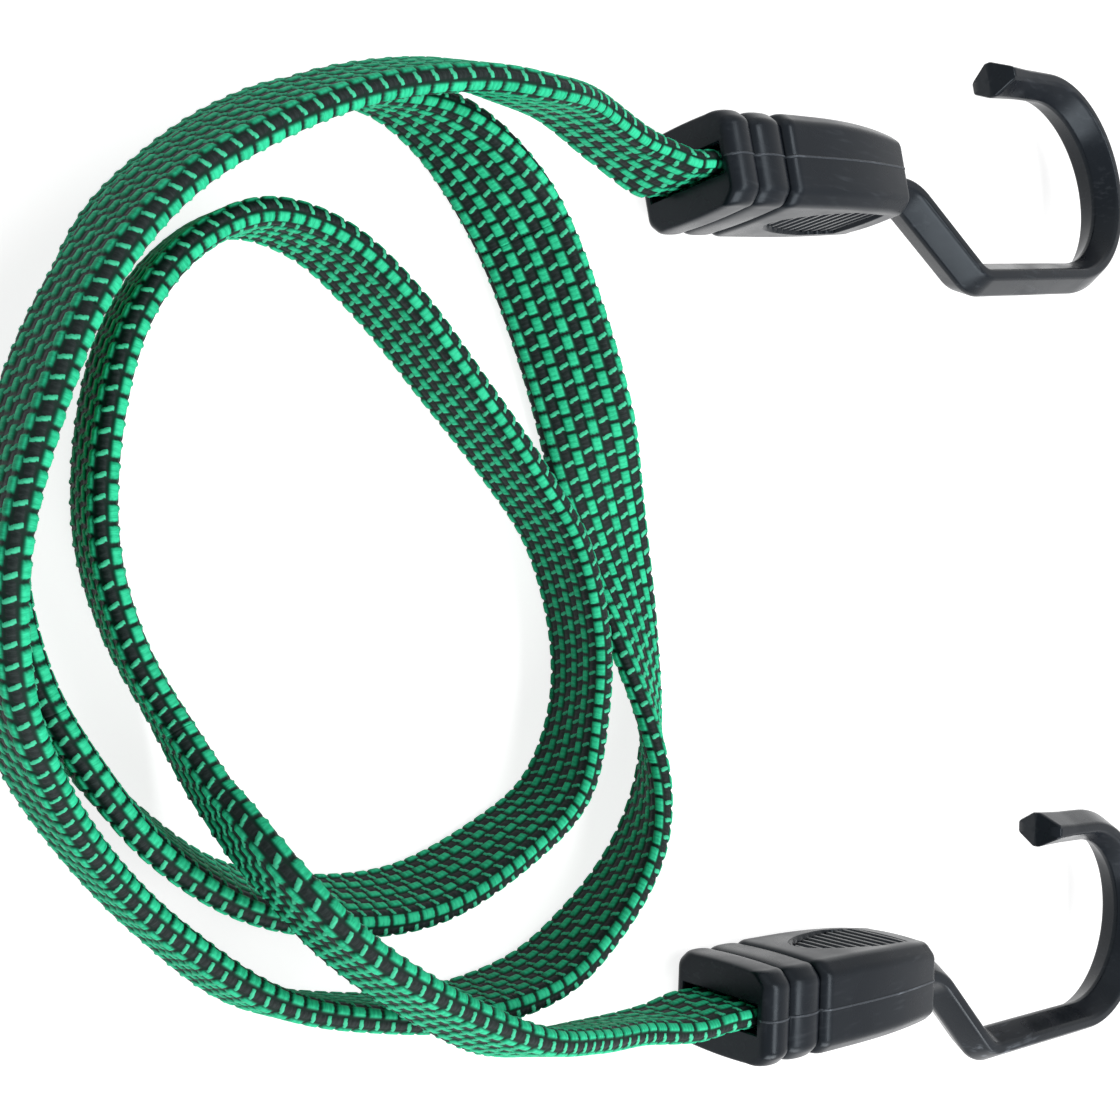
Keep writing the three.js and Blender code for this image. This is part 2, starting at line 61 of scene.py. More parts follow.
# The strap as it lies, from hook a to hook b: x, y, z of its middle, and the lean of its width.
STRAP_ROUTE: list[tuple[float, float, float, float]] = [
    (-0.088, 0.067, 0.0118, 5),
    (-0.102, 0.0695, 0.0155, 12),
    (-0.1175, 0.0675, 0.0225, 16),
    (-0.1315, 0.0655, 0.025, 19),
    (-0.1475, 0.0605, 0.025, 18),
    (-0.162, 0.0525, 0.025, 14),
    (-0.174, 0.0425, 0.0248, 8),
    (-0.183, 0.0295, 0.0248, 3),
    (-0.189, 0.014, 0.0246, 2),
    (-0.1915, 0.0, 0.0235, 0),
    (-0.1895, -0.0135, 0.0195, -3),
    (-0.1835, -0.0255, 0.0135, -3),
    (-0.1755, -0.0365, 0.0094, -3),
    (-0.166, -0.047, 0.0082, 0),
    (-0.153, -0.058, 0.0082, 6),
    (-0.138, -0.0635, 0.0082, 5),
    (-0.121, -0.0665, 0.0082, 2),
    (-0.104, -0.065, 0.0082, 0),
    (-0.0915, -0.058, 0.0082, 6),
    (-0.0825, -0.049, 0.008, 16),
    (-0.078, -0.0385, 0.0075, 31),
    (-0.0775, -0.0265, 0.0065, 48),
    (-0.0795, -0.0135, 0.005, 66),
    (-0.082, 0.0, 0.003, 87),
    (-0.0865, 0.012, 0.0042, 107),
    (-0.0915, 0.024, 0.0062, 130),
    (-0.0975, 0.038, 0.0068, 138),
    (-0.1045, 0.051, 0.007, 143),
    (-0.112, 0.059, 0.0076, 158),
    (-0.1205, 0.0645, 0.0081, 175),
    (-0.13, 0.067, 0.0081, 190),
    (-0.1415, 0.0655, 0.0081, 196),
    (-0.1525, 0.0605, 0.0081, 192),
    (-0.163, 0.053, 0.0082, 185),
    (-0.1725, 0.043, 0.0082, 178),
    (-0.179, 0.029, 0.0081, 170),
    (-0.183, 0.0145, 0.008, 165),
    (-0.1845, 0.0, 0.008, 164),
    (-0.182, -0.013, 0.008, 166),
    (-0.1765, -0.024, 0.0081, 170),
    (-0.168, -0.0345, 0.0081, 167),
    (-0.156, -0.0435, 0.0081, 168),
    (-0.141, -0.048, 0.0081, 167),
    (-0.126, -0.0485, 0.0081, 168),
    (-0.111, -0.0435, 0.0081, 173),
    (-0.1, -0.0365, 0.0081, 180),
    (-0.095, -0.025, 0.0081, 191),
    (-0.0945, -0.012, 0.0081, 190),
    (-0.099, 0.0025, 0.0081, 187),
    (-0.108, 0.014, 0.0081, 185),
    (-0.119, 0.0255, 0.0081, 182),
    (-0.1305, 0.037, 0.0081, 180),
    (-0.1415, 0.0445, 0.0081, 182),
    (-0.153, 0.046, 0.0081, 182),
    (-0.163, 0.04, 0.0081, 176),
    (-0.17, 0.03, 0.0081, 172),
    (-0.1735, 0.017, 0.0081, 170),
    (-0.174, 0.003, 0.0081, 168),
    (-0.171, -0.009, 0.0088, 166),
    (-0.166, -0.02, 0.0112, 166),
    (-0.162, -0.03, 0.0165, 170),
    (-0.1575, -0.039, 0.024, 177),
    (-0.1495, -0.0485, 0.0264, 183),
    (-0.138, -0.0575, 0.0264, 189),
    (-0.124, -0.066, 0.0256, 195),
    (-0.1085, -0.0715, 0.0195, 196),
    (-0.0925, -0.0755, 0.0128, 193),
    (-0.079, -0.0775, 0.0114, 184),
]

# The weave's row pitch along the strap, as share of its length and pitch: tight where it lies slack.
ROW_PITCH: list[tuple[float, float]] = [
    (0.00, 0.0030),
    (0.05, 0.0034),
    (0.08, 0.0031),
    (0.11, 0.0026),
    (0.17, 0.0022),
    (0.22, 0.0022),
    (0.28, 0.0028),
    (0.37, 0.0030),
    (0.42, 0.0028),
    (0.50, 0.0025),
    (0.69, 0.0024),
    (0.77, 0.0024),
    (0.82, 0.0026),
    (0.88, 0.0024),
    (0.91, 0.0024),
    (0.94, 0.0037),
    (1.00, 0.0034),
]


class HookName(Enum):
    """The two ends of the cord."""

    A = "a"
    B = "b"


class Side(Enum):
    """The two half shells of a housing, by the sign of their side of the seam."""

    FAR = 1
    NEAR = -1


# Small helpers on arrays


def smooth_step(low: float, high: float, value: Array) -> Array:
    """Rises from 0 to 1 between two values, flat at both ends.

    Args:
        low: Where the rise starts.
        high: Where it ends.
        value: Any array.

    Returns:
        The eased share of the way, 3t^2 - 2t^3.
    """
    share = np.clip((value - low) / (high - low), 0.0, 1.0)
    return share * share * (3.0 - 2.0 * share)


def unit(vectors: Array) -> Array:
    """Vectors along the last axis, scaled to length 1."""
    return vectors / np.linalg.norm(vectors, axis=-1, keepdims=True)


def rounded_box(x: Array, y: Array, half_x: Array, half_y: Array, corner: float) -> Array:
    """Depth inside a rounded rectangle: positive inside it, negative outside.

    Args:
        x: Places across, from its middle.
        y: Places along, from its middle.
        half_x: Half its size across.
        half_y: Half its size along.
        corner: Radius of its corners.

    Returns:
        Minus the signed distance to its outline.
    """
    over_x = np.abs(x) - half_x + corner
    over_y = np.abs(y) - half_y + corner
    outside = np.hypot(np.maximum(over_x, 0.0), np.maximum(over_y, 0.0))
    inside = np.minimum(np.maximum(over_x, over_y), 0.0)
    return corner - outside - inside


def rounded_line(corners: Array, radii: Array, steps: int) -> Array:
    """A line through corners, each eased by a quadratic arc.

    Args:
        corners: Points of the line, n by k.
        radii: Length taken off each leg at a corner, n values. The ends have none.
        steps: Points on each arc, less one.

    Returns:
        Points of the eased line. An arc is (1-t)^2 a + 2t(1-t) b + t^2 c about corner b.
    """
    before = unit(corners[:-2] - corners[1:-1])
    after = unit(corners[2:] - corners[1:-1])
    reach = radii[1:-1, None]
    start = corners[1:-1] + before * reach
    end = corners[1:-1] + after * reach
    share = np.linspace(0.0, 1.0, steps + 1)[None, :, None]
    middle = corners[1:-1][:, None, :]
    arcs = (1 - share) ** 2 * start[:, None] + 2 * share * (1 - share) * middle + share ** 2 * end[:, None]
    return np.concatenate([corners[:1], arcs.reshape(-1, corners.shape[1]), corners[-1:]])


# Meshes


def tube_mesh(name: str, points: Array, sharp: float | None = None) -> bpy.types.Object:
    """A closed tube from rings of points, with a flat face on each end.

    Args:
        name: The piece's name.
        points: Rings of points, rings by sides by 3.
        sharp: Angle in degrees past which an edge stays sharp, or none.

    Returns:
        The new object, at the origin.
    """
    rings, sides = points.shape[:2]
    ring = np.arange(rings - 1)[:, None] * sides
    here = np.arange(sides)[None, :]
    following = (here + 1) % sides
    quads = np.stack([ring + here, ring + following, ring + sides + following, ring + sides + here], -1)
    quads = quads.reshape(-1, 4)
    first = np.arange(sides)[::-1]
    last = (rings - 1) * sides + np.arange(sides)
    corners = np.concatenate([quads.ravel(), first, last]).astype(np.int32)
    starts = np.concatenate([np.arange(len(quads)) * 4, [quads.size, quads.size + sides]])

    mesh = bpy.data.meshes.new(name)
    mesh.vertices.add(rings * sides)
    mesh.vertices.foreach_set("co", points.astype(np.float32).ravel())
    mesh.loops.add(len(corners))
    mesh.loops.foreach_set("vertex_index", corners)
    mesh.polygons.add(len(starts))
    mesh.polygons.foreach_set("loop_start", starts.astype(np.int32))
    mesh.polygons.foreach_set("use_smooth", np.ones(len(starts), bool))
    mesh.update(calc_edges=True)
    if sharp is not None:
        mesh.set_sharp_from_angle(angle=np.radians(sharp))
    piece = bpy.data.objects.new(name, mesh)
    bpy.context.scene.collection.objects.link(piece)
    return piece


def add_map(piece: bpy.types.Object, name: str, along: Array, around: Array) -> None:
    """Gives a tube a UV map whose seam runs along its first side.

    Args:
        piece: A piece from tube_mesh.
        name: The map's name.
        along: V of each ring.
        around: U of each side, and one more for the way back to the first.
    """
    rings, sides = len(along), len(around) - 1
    ring = np.broadcast_to(np.arange(rings - 1)[:, None], (rings - 1, sides))
    side = np.broadcast_to(np.arange(sides)[None, :], (rings - 1, sides))
    u = np.stack([around[side], around[side + 1], around[side + 1], around[side]], -1)
    v = np.stack([along[ring], along[ring], along[ring + 1], along[ring + 1]], -1)
    ends_u = np.concatenate([around[:-1][::-1], around[:-1]])
    ends_v = np.repeat([along[0], along[-1]], sides)
    flat = np.stack([np.concatenate([u.ravel(), ends_u]), np.concatenate([v.ravel(), ends_v])], -1)
    layer = piece.data.uv_layers.new(name=name)
    layer.uv.foreach_set("vector", flat.astype(np.float32).ravel())


def add_values(piece: bpy.types.Object, name: str, values: Array) -> None:
    """Gives each point of a mesh one number, under a name that materials read."""
    attribute = piece.data.attributes.new(name, "FLOAT", "POINT")
    attribute.data.foreach_set("value", values.astype(np.float32).ravel())


# The strap's line


@dataclass(frozen=True)
class HookPlace:
    """Where a hook end lies: the middle of its mouth, its turn about Z and its roll."""

    x: float
    y: float
    turn: float
    roll: float

    def height(self, width: float, thickness: float, chamfer: float) -> float:
        """Height of the housing's middle when it lies on its narrow side.

        Args:
            width: The housing's width, which stands upright.
            thickness: Its thickness.
            chamfer: Chamfer of its long edges.

        Returns:
            Upright and sideways reach of the narrow side's lower edge.
        """
        angle = np.radians(abs(self.roll))
        return float(width / 2 * np.cos(angle) + (thickness / 2 - chamfer) * np.sin(angle))


HOOK_PLACES: dict[HookName, HookPlace] = {
    HookName.A: HookPlace(-0.0736, 0.0649, 7.6, -5.5),
    HookName.B: HookPlace(-0.0663, -0.0775, -3.8, 0.0),
}


@dataclass(frozen=True)
class HousingSizes:
    """Sizes of a hook's housing, along its length from the strap's mouth."""

    length: float = 51.0 * MM
    width: float = 23.0 * MM
    thickness: float = 16.3 * MM
    crown: float = 0.2 * MM
    chamfer: float = 2.1 * MM
    chamfer_ease: float = 0.9 * MM
    end_width: float = 17.8 * MM
    end_thickness: float = 14.8 * MM
    end_offset: float = -0.6 * MM
    taper_start: float = 24.0 * MM
    taper_bow: float = 2.2
    slot_width: float = 17.2 * MM
    slot_thickness: float = 5.0 * MM
    slot_depth: float = 18.0 * MM
    slot_flare: float = 0.25 * MM
    shank_seat: float = 11.4 * MM
    seam: float = 0.02 * MM
    flash: float = 0.13 * MM
    flash_width: float = 0.25 * MM


HOUSING = HousingSizes()


@dataclass
class StrapLine:
    """The strap's middle line, with the turn of its width, on one smooth curve."""

    tail: float = 28.0 * MM
    flex: float = 10.0 * MM
    samples: int = 48
    stations: Array = field(init=False)
    lengths: Array = field(init=False)
    ways: Array = field(init=False)

    def __post_init__(self) -> None:
        """Joins the straight tails to the route and measures the line."""
        tails = [self._tail(name) for name in HookName]
        tails[1][:, 3] = 180.0 - tails[1][:, 3]
        self.stations = np.concatenate([tails[0], np.array(STRAP_ROUTE), tails[1][::-1]])
        self.ways = np.linspace(0.0, len(self.stations) - 1, (len(self.stations) - 1) * self.samples + 1)
        steps = np.linalg.norm(np.diff(self._curve(self.ways)[0][:, :3], axis=0), axis=1)
        self.lengths = np.concatenate([[0.0], np.cumsum(steps)])

    @property
    def total(self) -> float:
        """The strap's whole length."""
        return float(self.lengths[-1])

    def _tail(self, name: HookName) -> Array:
        """The straight end inside one housing, from its inner end outward.

        Args:
            name: Which hook end.

        Returns:
            Rows of x, y, z and lean.
        """
        place = HOOK_PLACES[name]
        inward = np.array([self.tail, self.tail / 2, 0.0, -self.flex / 2])
        angle = np.radians(place.turn)
        height = place.height(HOUSING.width, HOUSING.thickness, HOUSING.chamfer)
        even = np.ones_like(inward)
        return np.stack([place.x + inward * np.cos(angle), place.y + inward * np.sin(angle),
                         height * even, place.roll * even], -1)

    def _curve(self, way: Array) -> tuple[Array, Array]:
        """Catmull-Rom values and slopes at places counted in stations.

        Args:
            way: Places from 0 to the last station.

        Returns:
            The stations' values there, and their rate of change.
        """
        held = self.stations
        padded = np.concatenate([2 * held[:1] - held[1:2], held, 2 * held[-1:] - held[-2:-1]])
        index = np.clip(np.floor(way).astype(int), 0, len(held) - 2)
        t = (way - index)[:, None]
        p0, p1, p2, p3 = (padded[index + k] for k in range(4))
        slope_1, slope_2 = (p2 - p0) / 2, (p3 - p1) / 2
        cubic = 2 * p1 - 2 * p2 + slope_1 + slope_2
        square = -3 * p1 + 3 * p2 - 2 * slope_1 - slope_2
        value = cubic * t ** 3 + square * t ** 2 + slope_1 * t + p1
        return value, 3 * cubic * t ** 2 + 2 * square * t + slope_1

    def points(self, length: Array) -> Array:
        """Points of the middle line at lengths along it."""
        return self._curve(np.interp(length, self.lengths, self.ways))[0][:, :3]

    def frames(self, length: Array) -> tuple[Array, Array, Array]:
        """The strap's place at lengths along it.

        Args:
            length: Lengths from the end in hook a.

        Returns:
            Middle points, and the directions of its width and of its thickness. The width starts
            upright, square to the way, and turns by the lean toward the left of the way.
        """
        value, slope = self._curve(np.interp(length, self.lengths, self.ways))
        along = unit(slope[:, :3])
        left = unit(np.stack([-along[:, 1], along[:, 0], np.zeros(len(along))], -1))
        up = np.cross(along, left)
        lean = np.radians(value[:, 3])[:, None]
        width = np.cos(lean) * up + np.sin(lean) * left
        return value[:, :3], width, np.cross(width, along)


# The woven strap


@dataclass(frozen=True)
class Weave:
    """The sheath's yarns: columns round the strap, by turns green and black.

    A green column takes the larger share of each pair. It is a row of full floats with thin gaps. A
    black one has lower floats, and a slanted green tick, shaped like a lens, lies across each of its
    gaps. Each column's gaps lie a quarter of a row past the last's. Sizes of floats and ticks are
    shares of their column's width and of a row's pitch.
    """

    columns: int = 20
    green_share: float = 9 / 16
    row_shift: float = 0.25
    row_samples: int = 2001
    samples_across: int = 8
    samples_along: int = 9
    pillow: tuple[float, float] = (0.98, 0.88)
    filaments: int = 3
    ragged: float = 0.015
    block: tuple[float, float] = (0.84, 0.64)
    tick: tuple[float, float] = (2.1, 0.27)
    tick_slant: float = 0.3
    corner: float = 0.3 * MM
    ground: float = -0.24 * MM
    green_rise: float = 0.34 * MM
    black_rise: float = 0.11 * MM
    tick_rise: float = 0.28 * MM
    side_foot: float = 0.1 * MM
    side_shoulder: float = 0.62 * MM
    end_foot: float = 0.04 * MM
    end_shoulder: float = 0.34 * MM
    tick_foot: float = 0.06 * MM
    tick_shoulder: float = 0.2 * MM
    tick_margin: float = 0.05 * MM
    tick_tone: float = 2.0
    outside: float = 1.0 * MM
    scatter: tuple[float, float, float] = (12.9898, 78.233, 43758.5453)

    def rows(self, total: float) -> tuple[Array, Array]:
        """The rows passed at lengths along the strap.

        Args:
            total: The strap's length.

        Returns:
            Lengths, and the number of rows up to each: the sum of each step over its pitch.
        """
        lengths = np.linspace(0.0, total, self.row_samples)
        shares, pitches = np.array(ROW_PITCH).T
        pitch = np.interp(lengths / total, shares, pitches)
        steps = np.diff(lengths) / (pitch[1:] + pitch[:-1]) * 2
        return lengths, np.concatenate([[0.0], np.cumsum(steps)])

    def fields(self, across: Array, rows: Array, width: float, pitch: Array) -> dict[str, Array]:
        """The weave at places on the strap.

        Args:
            across: Distance round the strap from its upper edge.
            rows: Rows passed along the strap.
            width: Width of one column.
            pitch: Pitch of the rows there.

        Returns:
            rise: Height of the yarn over the strap's plain surface.
            green: Depth inside the green yarn's outline, in millimetres, negative outside it.
            crown: Height on the float, from 0 at its foot to 1.
            tone: A number from 0 to 1 that is the float's own, and more on a tick.
        """
        pair = np.floor(across / (2 * width))
        place = across / (2 * width) - pair
        in_green = place < self.green_share
        middle = np.where(in_green, self.green_share / 2, (1 + self.green_share) / 2)
        x = (place - middle) * 2 * width
        wide = 2 * width * np.where(in_green, self.green_share, 1 - self.green_share)
        column = (2 * pair + np.where(in_green, 0, 1)) % self.columns
        turn = rows - column * self.row_shift
        row = np.floor(turn)
        y = (turn - row - 0.5) * pitch
        gap_y = y - np.where(y > 0, 0.5, -0.5) * pitch
        ragged = self.ragged * pitch * np.cos(2 * np.pi * self.filaments * x / wide)
        half_pillow = self.pillow[1] * pitch / 2 + ragged
        pillow = rounded_box(x, y, self.pillow[0] * wide / 2, half_pillow, self.corner)
        block = rounded_box(x, y, self.block[0] * wide / 2, self.block[1] * pitch / 2, self.corner)
        taper = 1 - (2 * x / (self.tick[0] * wide)) ** 2
        tick = self.tick[1] * pitch / 2 * taper - np.abs(gap_y + self.tick_slant * x)

        never = np.full_like(x, -self.outside)
        pillow = np.where(in_green, pillow, never)
        block = np.where(in_green, never, block)
        tick = np.where(in_green, never, tick)
        round_off = smooth_step(-self.side_foot, self.side_shoulder, wide / 2 - np.abs(x))
        high = round_off * smooth_step(-self.end_foot, self.end_shoulder, pillow)
        low = round_off * smooth_step(-self.end_foot, self.end_shoulder, block)
        thin = smooth_step(-self.tick_foot, self.tick_shoulder, tick)
        rises = np.stack([self.green_rise * high, self.black_rise * low, self.tick_rise * thin])
        by_row, by_column, spread = self.scatter
        mixed = np.sin((row + 1.0) * by_row + column * by_column) * spread
        return {
            "rise": self.ground + rises.max(0),
            "green": np.maximum(pillow, tick) / MM,
            "crown": np.stack([high, low, thin]).max(0),
            "tone": np.where(tick > -self.tick_margin, self.tick_tone, mixed - np.floor(mixed)),
        }


@dataclass
class Strap:
    """The flat strap: a woven tube round its core, in stretches that follow the joints.
    """

    line: StrapLine
    width: float = 16.2 * MM
    thickness: float = 3.7 * MM
    lead: float = 52.0 * MM
    pull: float = 104.0 * MM
    bend_inside: float = 1.0 * MM
    bend_short: float = 5.0 * MM
    pull_short: float = 14.0 * MM
    pull_past: float = 3.0 * MM
    path_step: float = 2.0 * MM
    map_margin: float = 0.01
    loop_count: int = 5
    weave: Weave = field(default_factory=Weave)

    @property
    def girth(self) -> float:
        """Distance round the strap: two flat faces and two half circles."""
        return 2 * (self.width - self.thickness) + np.pi * self.thickness

    def outline(self, across: Array) -> tuple[Array, Array, Array, Array]:
        """The strap's section by the distance round it, from its upper edge.

        Args:
            across: Distances round the strap.

        Returns:
            Places along its width and thickness, and the outward direction along each. Edges are
            half circles of half the thickness, and the faces between them are flat.
        """
        radius = self.thickness / 2
        flat = self.width - self.thickness
        bend = np.pi * radius / 2
        half = self.girth / 2
        lower = (across % self.girth) >= half
        way = across % half
        first = np.clip(way, 0, bend) / radius
        last = np.clip(way - bend - flat, 0, bend) / radius
        angle = first + last
        run = np.clip(way - bend, 0, flat)
        along_width = flat / 2 - run + radius * np.cos(angle)
        along_thickness = radius * np.sin(angle)
        sign = np.where(lower, -1.0, 1.0)
        return sign * along_width, sign * along_thickness, sign * np.cos(angle), sign * np.sin(angle)

    def stretch(self, name: str, start: float, end: float) -> bpy.types.Object:
        """One stretch of the woven tube.

        Args:
            name: The piece's name.
            start: Length along the strap where it starts.
            end: Length where it ends.

        Returns:
            The stretch, its surface raised by the weave along the section's outward direction.
        """
        weave = self.weave
        sides = weave.columns * weave.samples_across
        lengths, passed = weave.rows(self.line.total)
        first, last = np.interp([start, end], lengths, passed)
        rows = np.linspace(first, last, int(np.ceil((last - first) * weave.samples_along)) + 1)
        along = np.interp(rows, passed, lengths)
        pitch = np.gradient(along, rows)
        across = np.arange(sides) * self.girth / sides
        grid = np.broadcast_arrays(across[None, :] + 1e-9, rows[:, None], pitch[:, None])
        yarn = weave.fields(grid[0], grid[1], self.girth / weave.columns, grid[2])
        place_w, place_t, out_w, out_t = (part[None, :] for part in self.outline(across))
        middle, width, through = (part[:, None, :] for part in self.line.frames(along))
        points = middle + width * (place_w + out_w * yarn["rise"])[..., None]
        points = points + through * (place_t + out_t * yarn["rise"])[..., None]
        piece = tube_mesh(name, points)
        turns = np.linspace(0.0, 1.0, sides + 1)
        add_map(piece, "weave", along / MM, turns * self.girth / MM)
        margin, inner = self.map_margin, 1 - 2 * self.map_margin
        add_map(piece, "OFBake", margin + inner * (along - start) / (end - start), margin + inner * turns)
        for value in ("green", "crown", "tone"):
            add_values(piece, value, yarn[value])
        return piece

    def build(self, sheath: "WovenYarn") -> list[bpy.types.Object]:
        """Makes every stretch, dresses it, and ties the loops to the strap.

        Args:
            sheath: The woven finish.

        Returns:
            The stretches from hook a to hook b.
        """
        total = self.line.total
        material = sheath.material()
        cuts = np.linspace(self.lead + self.pull, total - self.lead - self.pull, self.loop_count + 1)
        spans = {"strap_end_a": (0.0, self.lead), "strap_pull_a": (self.lead, self.lead + self.pull)}
        spans |= {f"strap_loop_{i + 1}": (cuts[i], cuts[i + 1]) for i in range(self.loop_count)}
        spans["strap_pull_b"] = (total - self.lead - self.pull, total - self.lead)
        spans["strap_end_b"] = (total - self.lead, total)
        pieces = {name: self.stretch(name, *span) for name, span in spans.items()}
        for piece in pieces.values():
            piece.data.materials.append(material)
        self._tie(pieces, total)
        self._declare(spans)
        return list(pieces.values())

    def _tie(self, pieces: dict[str, bpy.types.Object], total: float) -> None:
        """Sets the ends and the pulls in place, ties the loops to the strap, and hides the part's own
        strap pieces.

        Args:
            pieces: The stretches by name.
            total: The strap's whole length.
        """
        bend_in, bend_out = self.line.tail + self.bend_inside, self.lead - self.bend_short
        slack, taut = self.lead + self.pull - self.pull_short, self.lead + self.pull_past
        marks = np.array([bend_out, bend_in, slack, taut])
        for name in HookName:
            end = name.value
            lengths = marks if name is HookName.A else total - marks
            at = [tuple(map(float, point)) for point in self.line.points(lengths)]
            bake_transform(pieces[f"strap_end_{end}"])
            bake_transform(pieces[f"strap_pull_{end}"])
            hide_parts(f"sheath_end_{end}", f"core_end_{end}")
            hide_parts(f"sheath_lead_{end}", f"core_lead_{end}")
        for i in range(self.loop_count):
            loop = pieces[f"strap_loop_{i + 1}"]
            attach(loop, "strap")
            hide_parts("sheath_loops", "core_loops")

    def _declare(self, spans: dict[str, tuple[float, float]]) -> None:
        """Samples a path along each stretch between the ends, which is not used further.

        Args:
            spans: Lengths where each stretch starts and ends.
        """
        for name, (start, end) in spans.items():
            if name.startswith("strap_end"):
                continue
            count = int((end - start) / self.path_step) + 2
            path = self.line.points(np.linspace(start, end, count))


# The hook ends


@dataclass
class HookEnd:
    """A hook end: two half shells clamped on the strap, and the hook held between them."""

    name: HookName
    sizes: HousingSizes = HOUSING
    collar_inset: float = 0.15 * MM
    groove_depth: float = 1.6 * MM
    mouth_chamfer: float = 1.0 * MM
    mouth_side: float = 2.2 * MM
    face_power: float = 4.0
    side_power: float = 2.0
    body_shoulder: float = 2.6 * MM
    grooves: tuple[float, ...] = (6.4 * MM, 14.3 * MM)
    end_round: float = 1.6 * MM
    grip_start: float = 19.2 * MM
    grip_end: float = 45.5 * MM
    grip_width: float = 15.5 * MM
    grip_depth: float = 1.8 * MM
    grip_edge: float = 0.55 * MM
    grip_margin: float = 2.0 * MM
    grip_step: float = 0.17 * MM
    face_points: int = 73
    rib_count: int = 11
    rib_height: float = 1.1 * MM
    rib_crest: float = 0.57 * MM
    rib_inset: float = 0.1 * MM
    seat_gap: float = 0.12 * MM
    hook_height: float = 9.6 * MM
    ridge_thickness: float = 6.8 * MM
    ridge_flat: float = 0.8 * MM
    edge_thickness: float = 2.4 * MM
    edge_bevel: float = 0.45 * MM
    section_ease: float = 0.3 * MM
    shank_offset: float = -1.2 * MM
    shank_start: float = 40.0 * MM
    shank_corner: float = 59.6 * MM
    elbow_corner: float = 78.8 * MM
    shank_fillet: float = 10.5 * MM
    elbow_fillet: float = 7.0 * MM
    bend_centre: float = 117.1 * MM
    bend_offset: float = 2.5 * MM
    bend_radius: float = 21.6 * MM
    tip_end: float = 101.0 * MM
    tip_length: float = 8.0 * MM
    tip_flare: float = 0.3 * MM
    tip_rise: float = 1.65 * MM
    tip_ease: float = 0.25 * MM
    plain_rub: float = 0.12
    seam_highlight_and_rub: float = 2.5
    rub_reach: float = 11.0 * MM
    step: float = 0.6 * MM
    band_points: int = 41
    end_points: int = 9
    edge_steps: int = 8
    section_steps: int = 5
    straight_points: int = 14
    shank_points: int = 22
    elbow_points: int = 18
    bend_points: int = 90
    shell_sharp: float = 32.0
    hook_sharp: float = 40.0

    def placed(self, points: Array) -> Array:
        """Points of a hook end where it lies: rolled about its length, turned about Z, and moved.

        Args:
            points: Points by the hook end's own axes, from the middle of its mouth.

        Returns:
            The points in the object's frame.
        """
        place = HOOK_PLACES[self.name]
        roll, turn = np.radians(place.roll), np.radians(place.turn)
        height = place.height(self.sizes.width, self.sizes.thickness, self.sizes.chamfer)
        tilt = np.array([[1, 0, 0], [0, np.cos(roll), -np.sin(roll)], [0, np.sin(roll), np.cos(roll)]])
        spin = np.array([[np.cos(turn), -np.sin(turn), 0], [np.sin(turn), np.cos(turn), 0], [0, 0, 1]])
        return points @ (spin @ tilt).T + np.array([place.x, place.y, height])

    def creases(self) -> Array:
        """Places along the housing where its bands start and end: two collars, then the body."""
        return np.array([0.0, *self.grooves, self.grooves[-1] + 2 * self.body_shoulder])

    def bands(self, x: Array, mouth: float, power: float) -> Array:
        """How far the bands stand in along the housing.

        Args:
            x: Places along the housing.
            mouth: How far the first band stands in at the mouth.
            power: How square a band is: 2 for a round crest, more for a flat one with tight edges.

        Returns:
            Least in the middle of a band, and round to the crease at each end of it.
        """
        creases = self.creases()
        inset = np.zeros_like(x)
        for number, (low, high) in enumerate(zip(creases, creases[1:])):
            is_body = number == len(self.grooves)
            way = np.clip((2 * x - low - high) / (high - low), -1.0, 0.0 if is_body else 1.0)
            fall = 1 - (1 - np.abs(way) ** power) ** (1 / power)
            crest = 0.0 if is_body else self.collar_inset
            depth = np.where(way < 0, mouth, self.groove_depth) if number == 0 else self.groove_depth
            inside = (x >= low) & (x <= high)
            inset = np.where(inside, crest + (depth - crest) * fall, inset)
        return inset

    def profile(self) -> Array:
        """The housing's side line: places along it, and how far its faces and sides stand in.

        Returns:
            Rows of place, inset of the broad faces and inset of the narrow sides. The line runs over
            the bands, and round the hook's end.
        """
        creases = self.creases()
        swing = (1 - np.cos(np.linspace(0.0, np.pi, self.band_points))) / 2
        start = self.sizes.length - self.end_round
        parts = [low + (high - low) * swing for low, high in zip(creases, creases[1:])]
        margin = self.grip_margin
        parts.append(np.arange(self.grip_start - margin, self.grip_end + margin, self.grip_step))
        parts.append(np.arange(creases[-1], start, self.step))
        parts.append(start + self.end_round * np.sin(np.linspace(0.0, np.pi / 2, self.end_points)))
        places = np.unique(np.concatenate(parts).round(7))
        past = np.clip((places - start) / self.end_round, 0.0, 1.0)
        end = self.end_round * (1 - np.sqrt(1 - past ** 2))
        faces = end + self.bands(places, self.mouth_chamfer, self.face_power)
        sides = end + self.bands(places, self.mouth_side, self.side_power)
        return np.stack([places, faces, sides], -1)

    def body_size(self, x: Array) -> tuple[Array, Array, Array]:
        """Thickness, width and sideways shift of the housing, before grooves and chamfers.

        Args:
            x: Places along the housing.

        Returns:
            Each goes from its size at the mouth to its size at the hook by a power of the way.
        """
        sizes = self.sizes
        way = np.clip((x - sizes.taper_start) / (sizes.length - sizes.taper_start), 0, 1)
        way = way ** sizes.taper_bow
        thickness = sizes.thickness + (sizes.end_thickness - sizes.thickness) * way
        width = sizes.width + (sizes.end_width - sizes.width) * way
        return thickness, width, sizes.end_offset * way

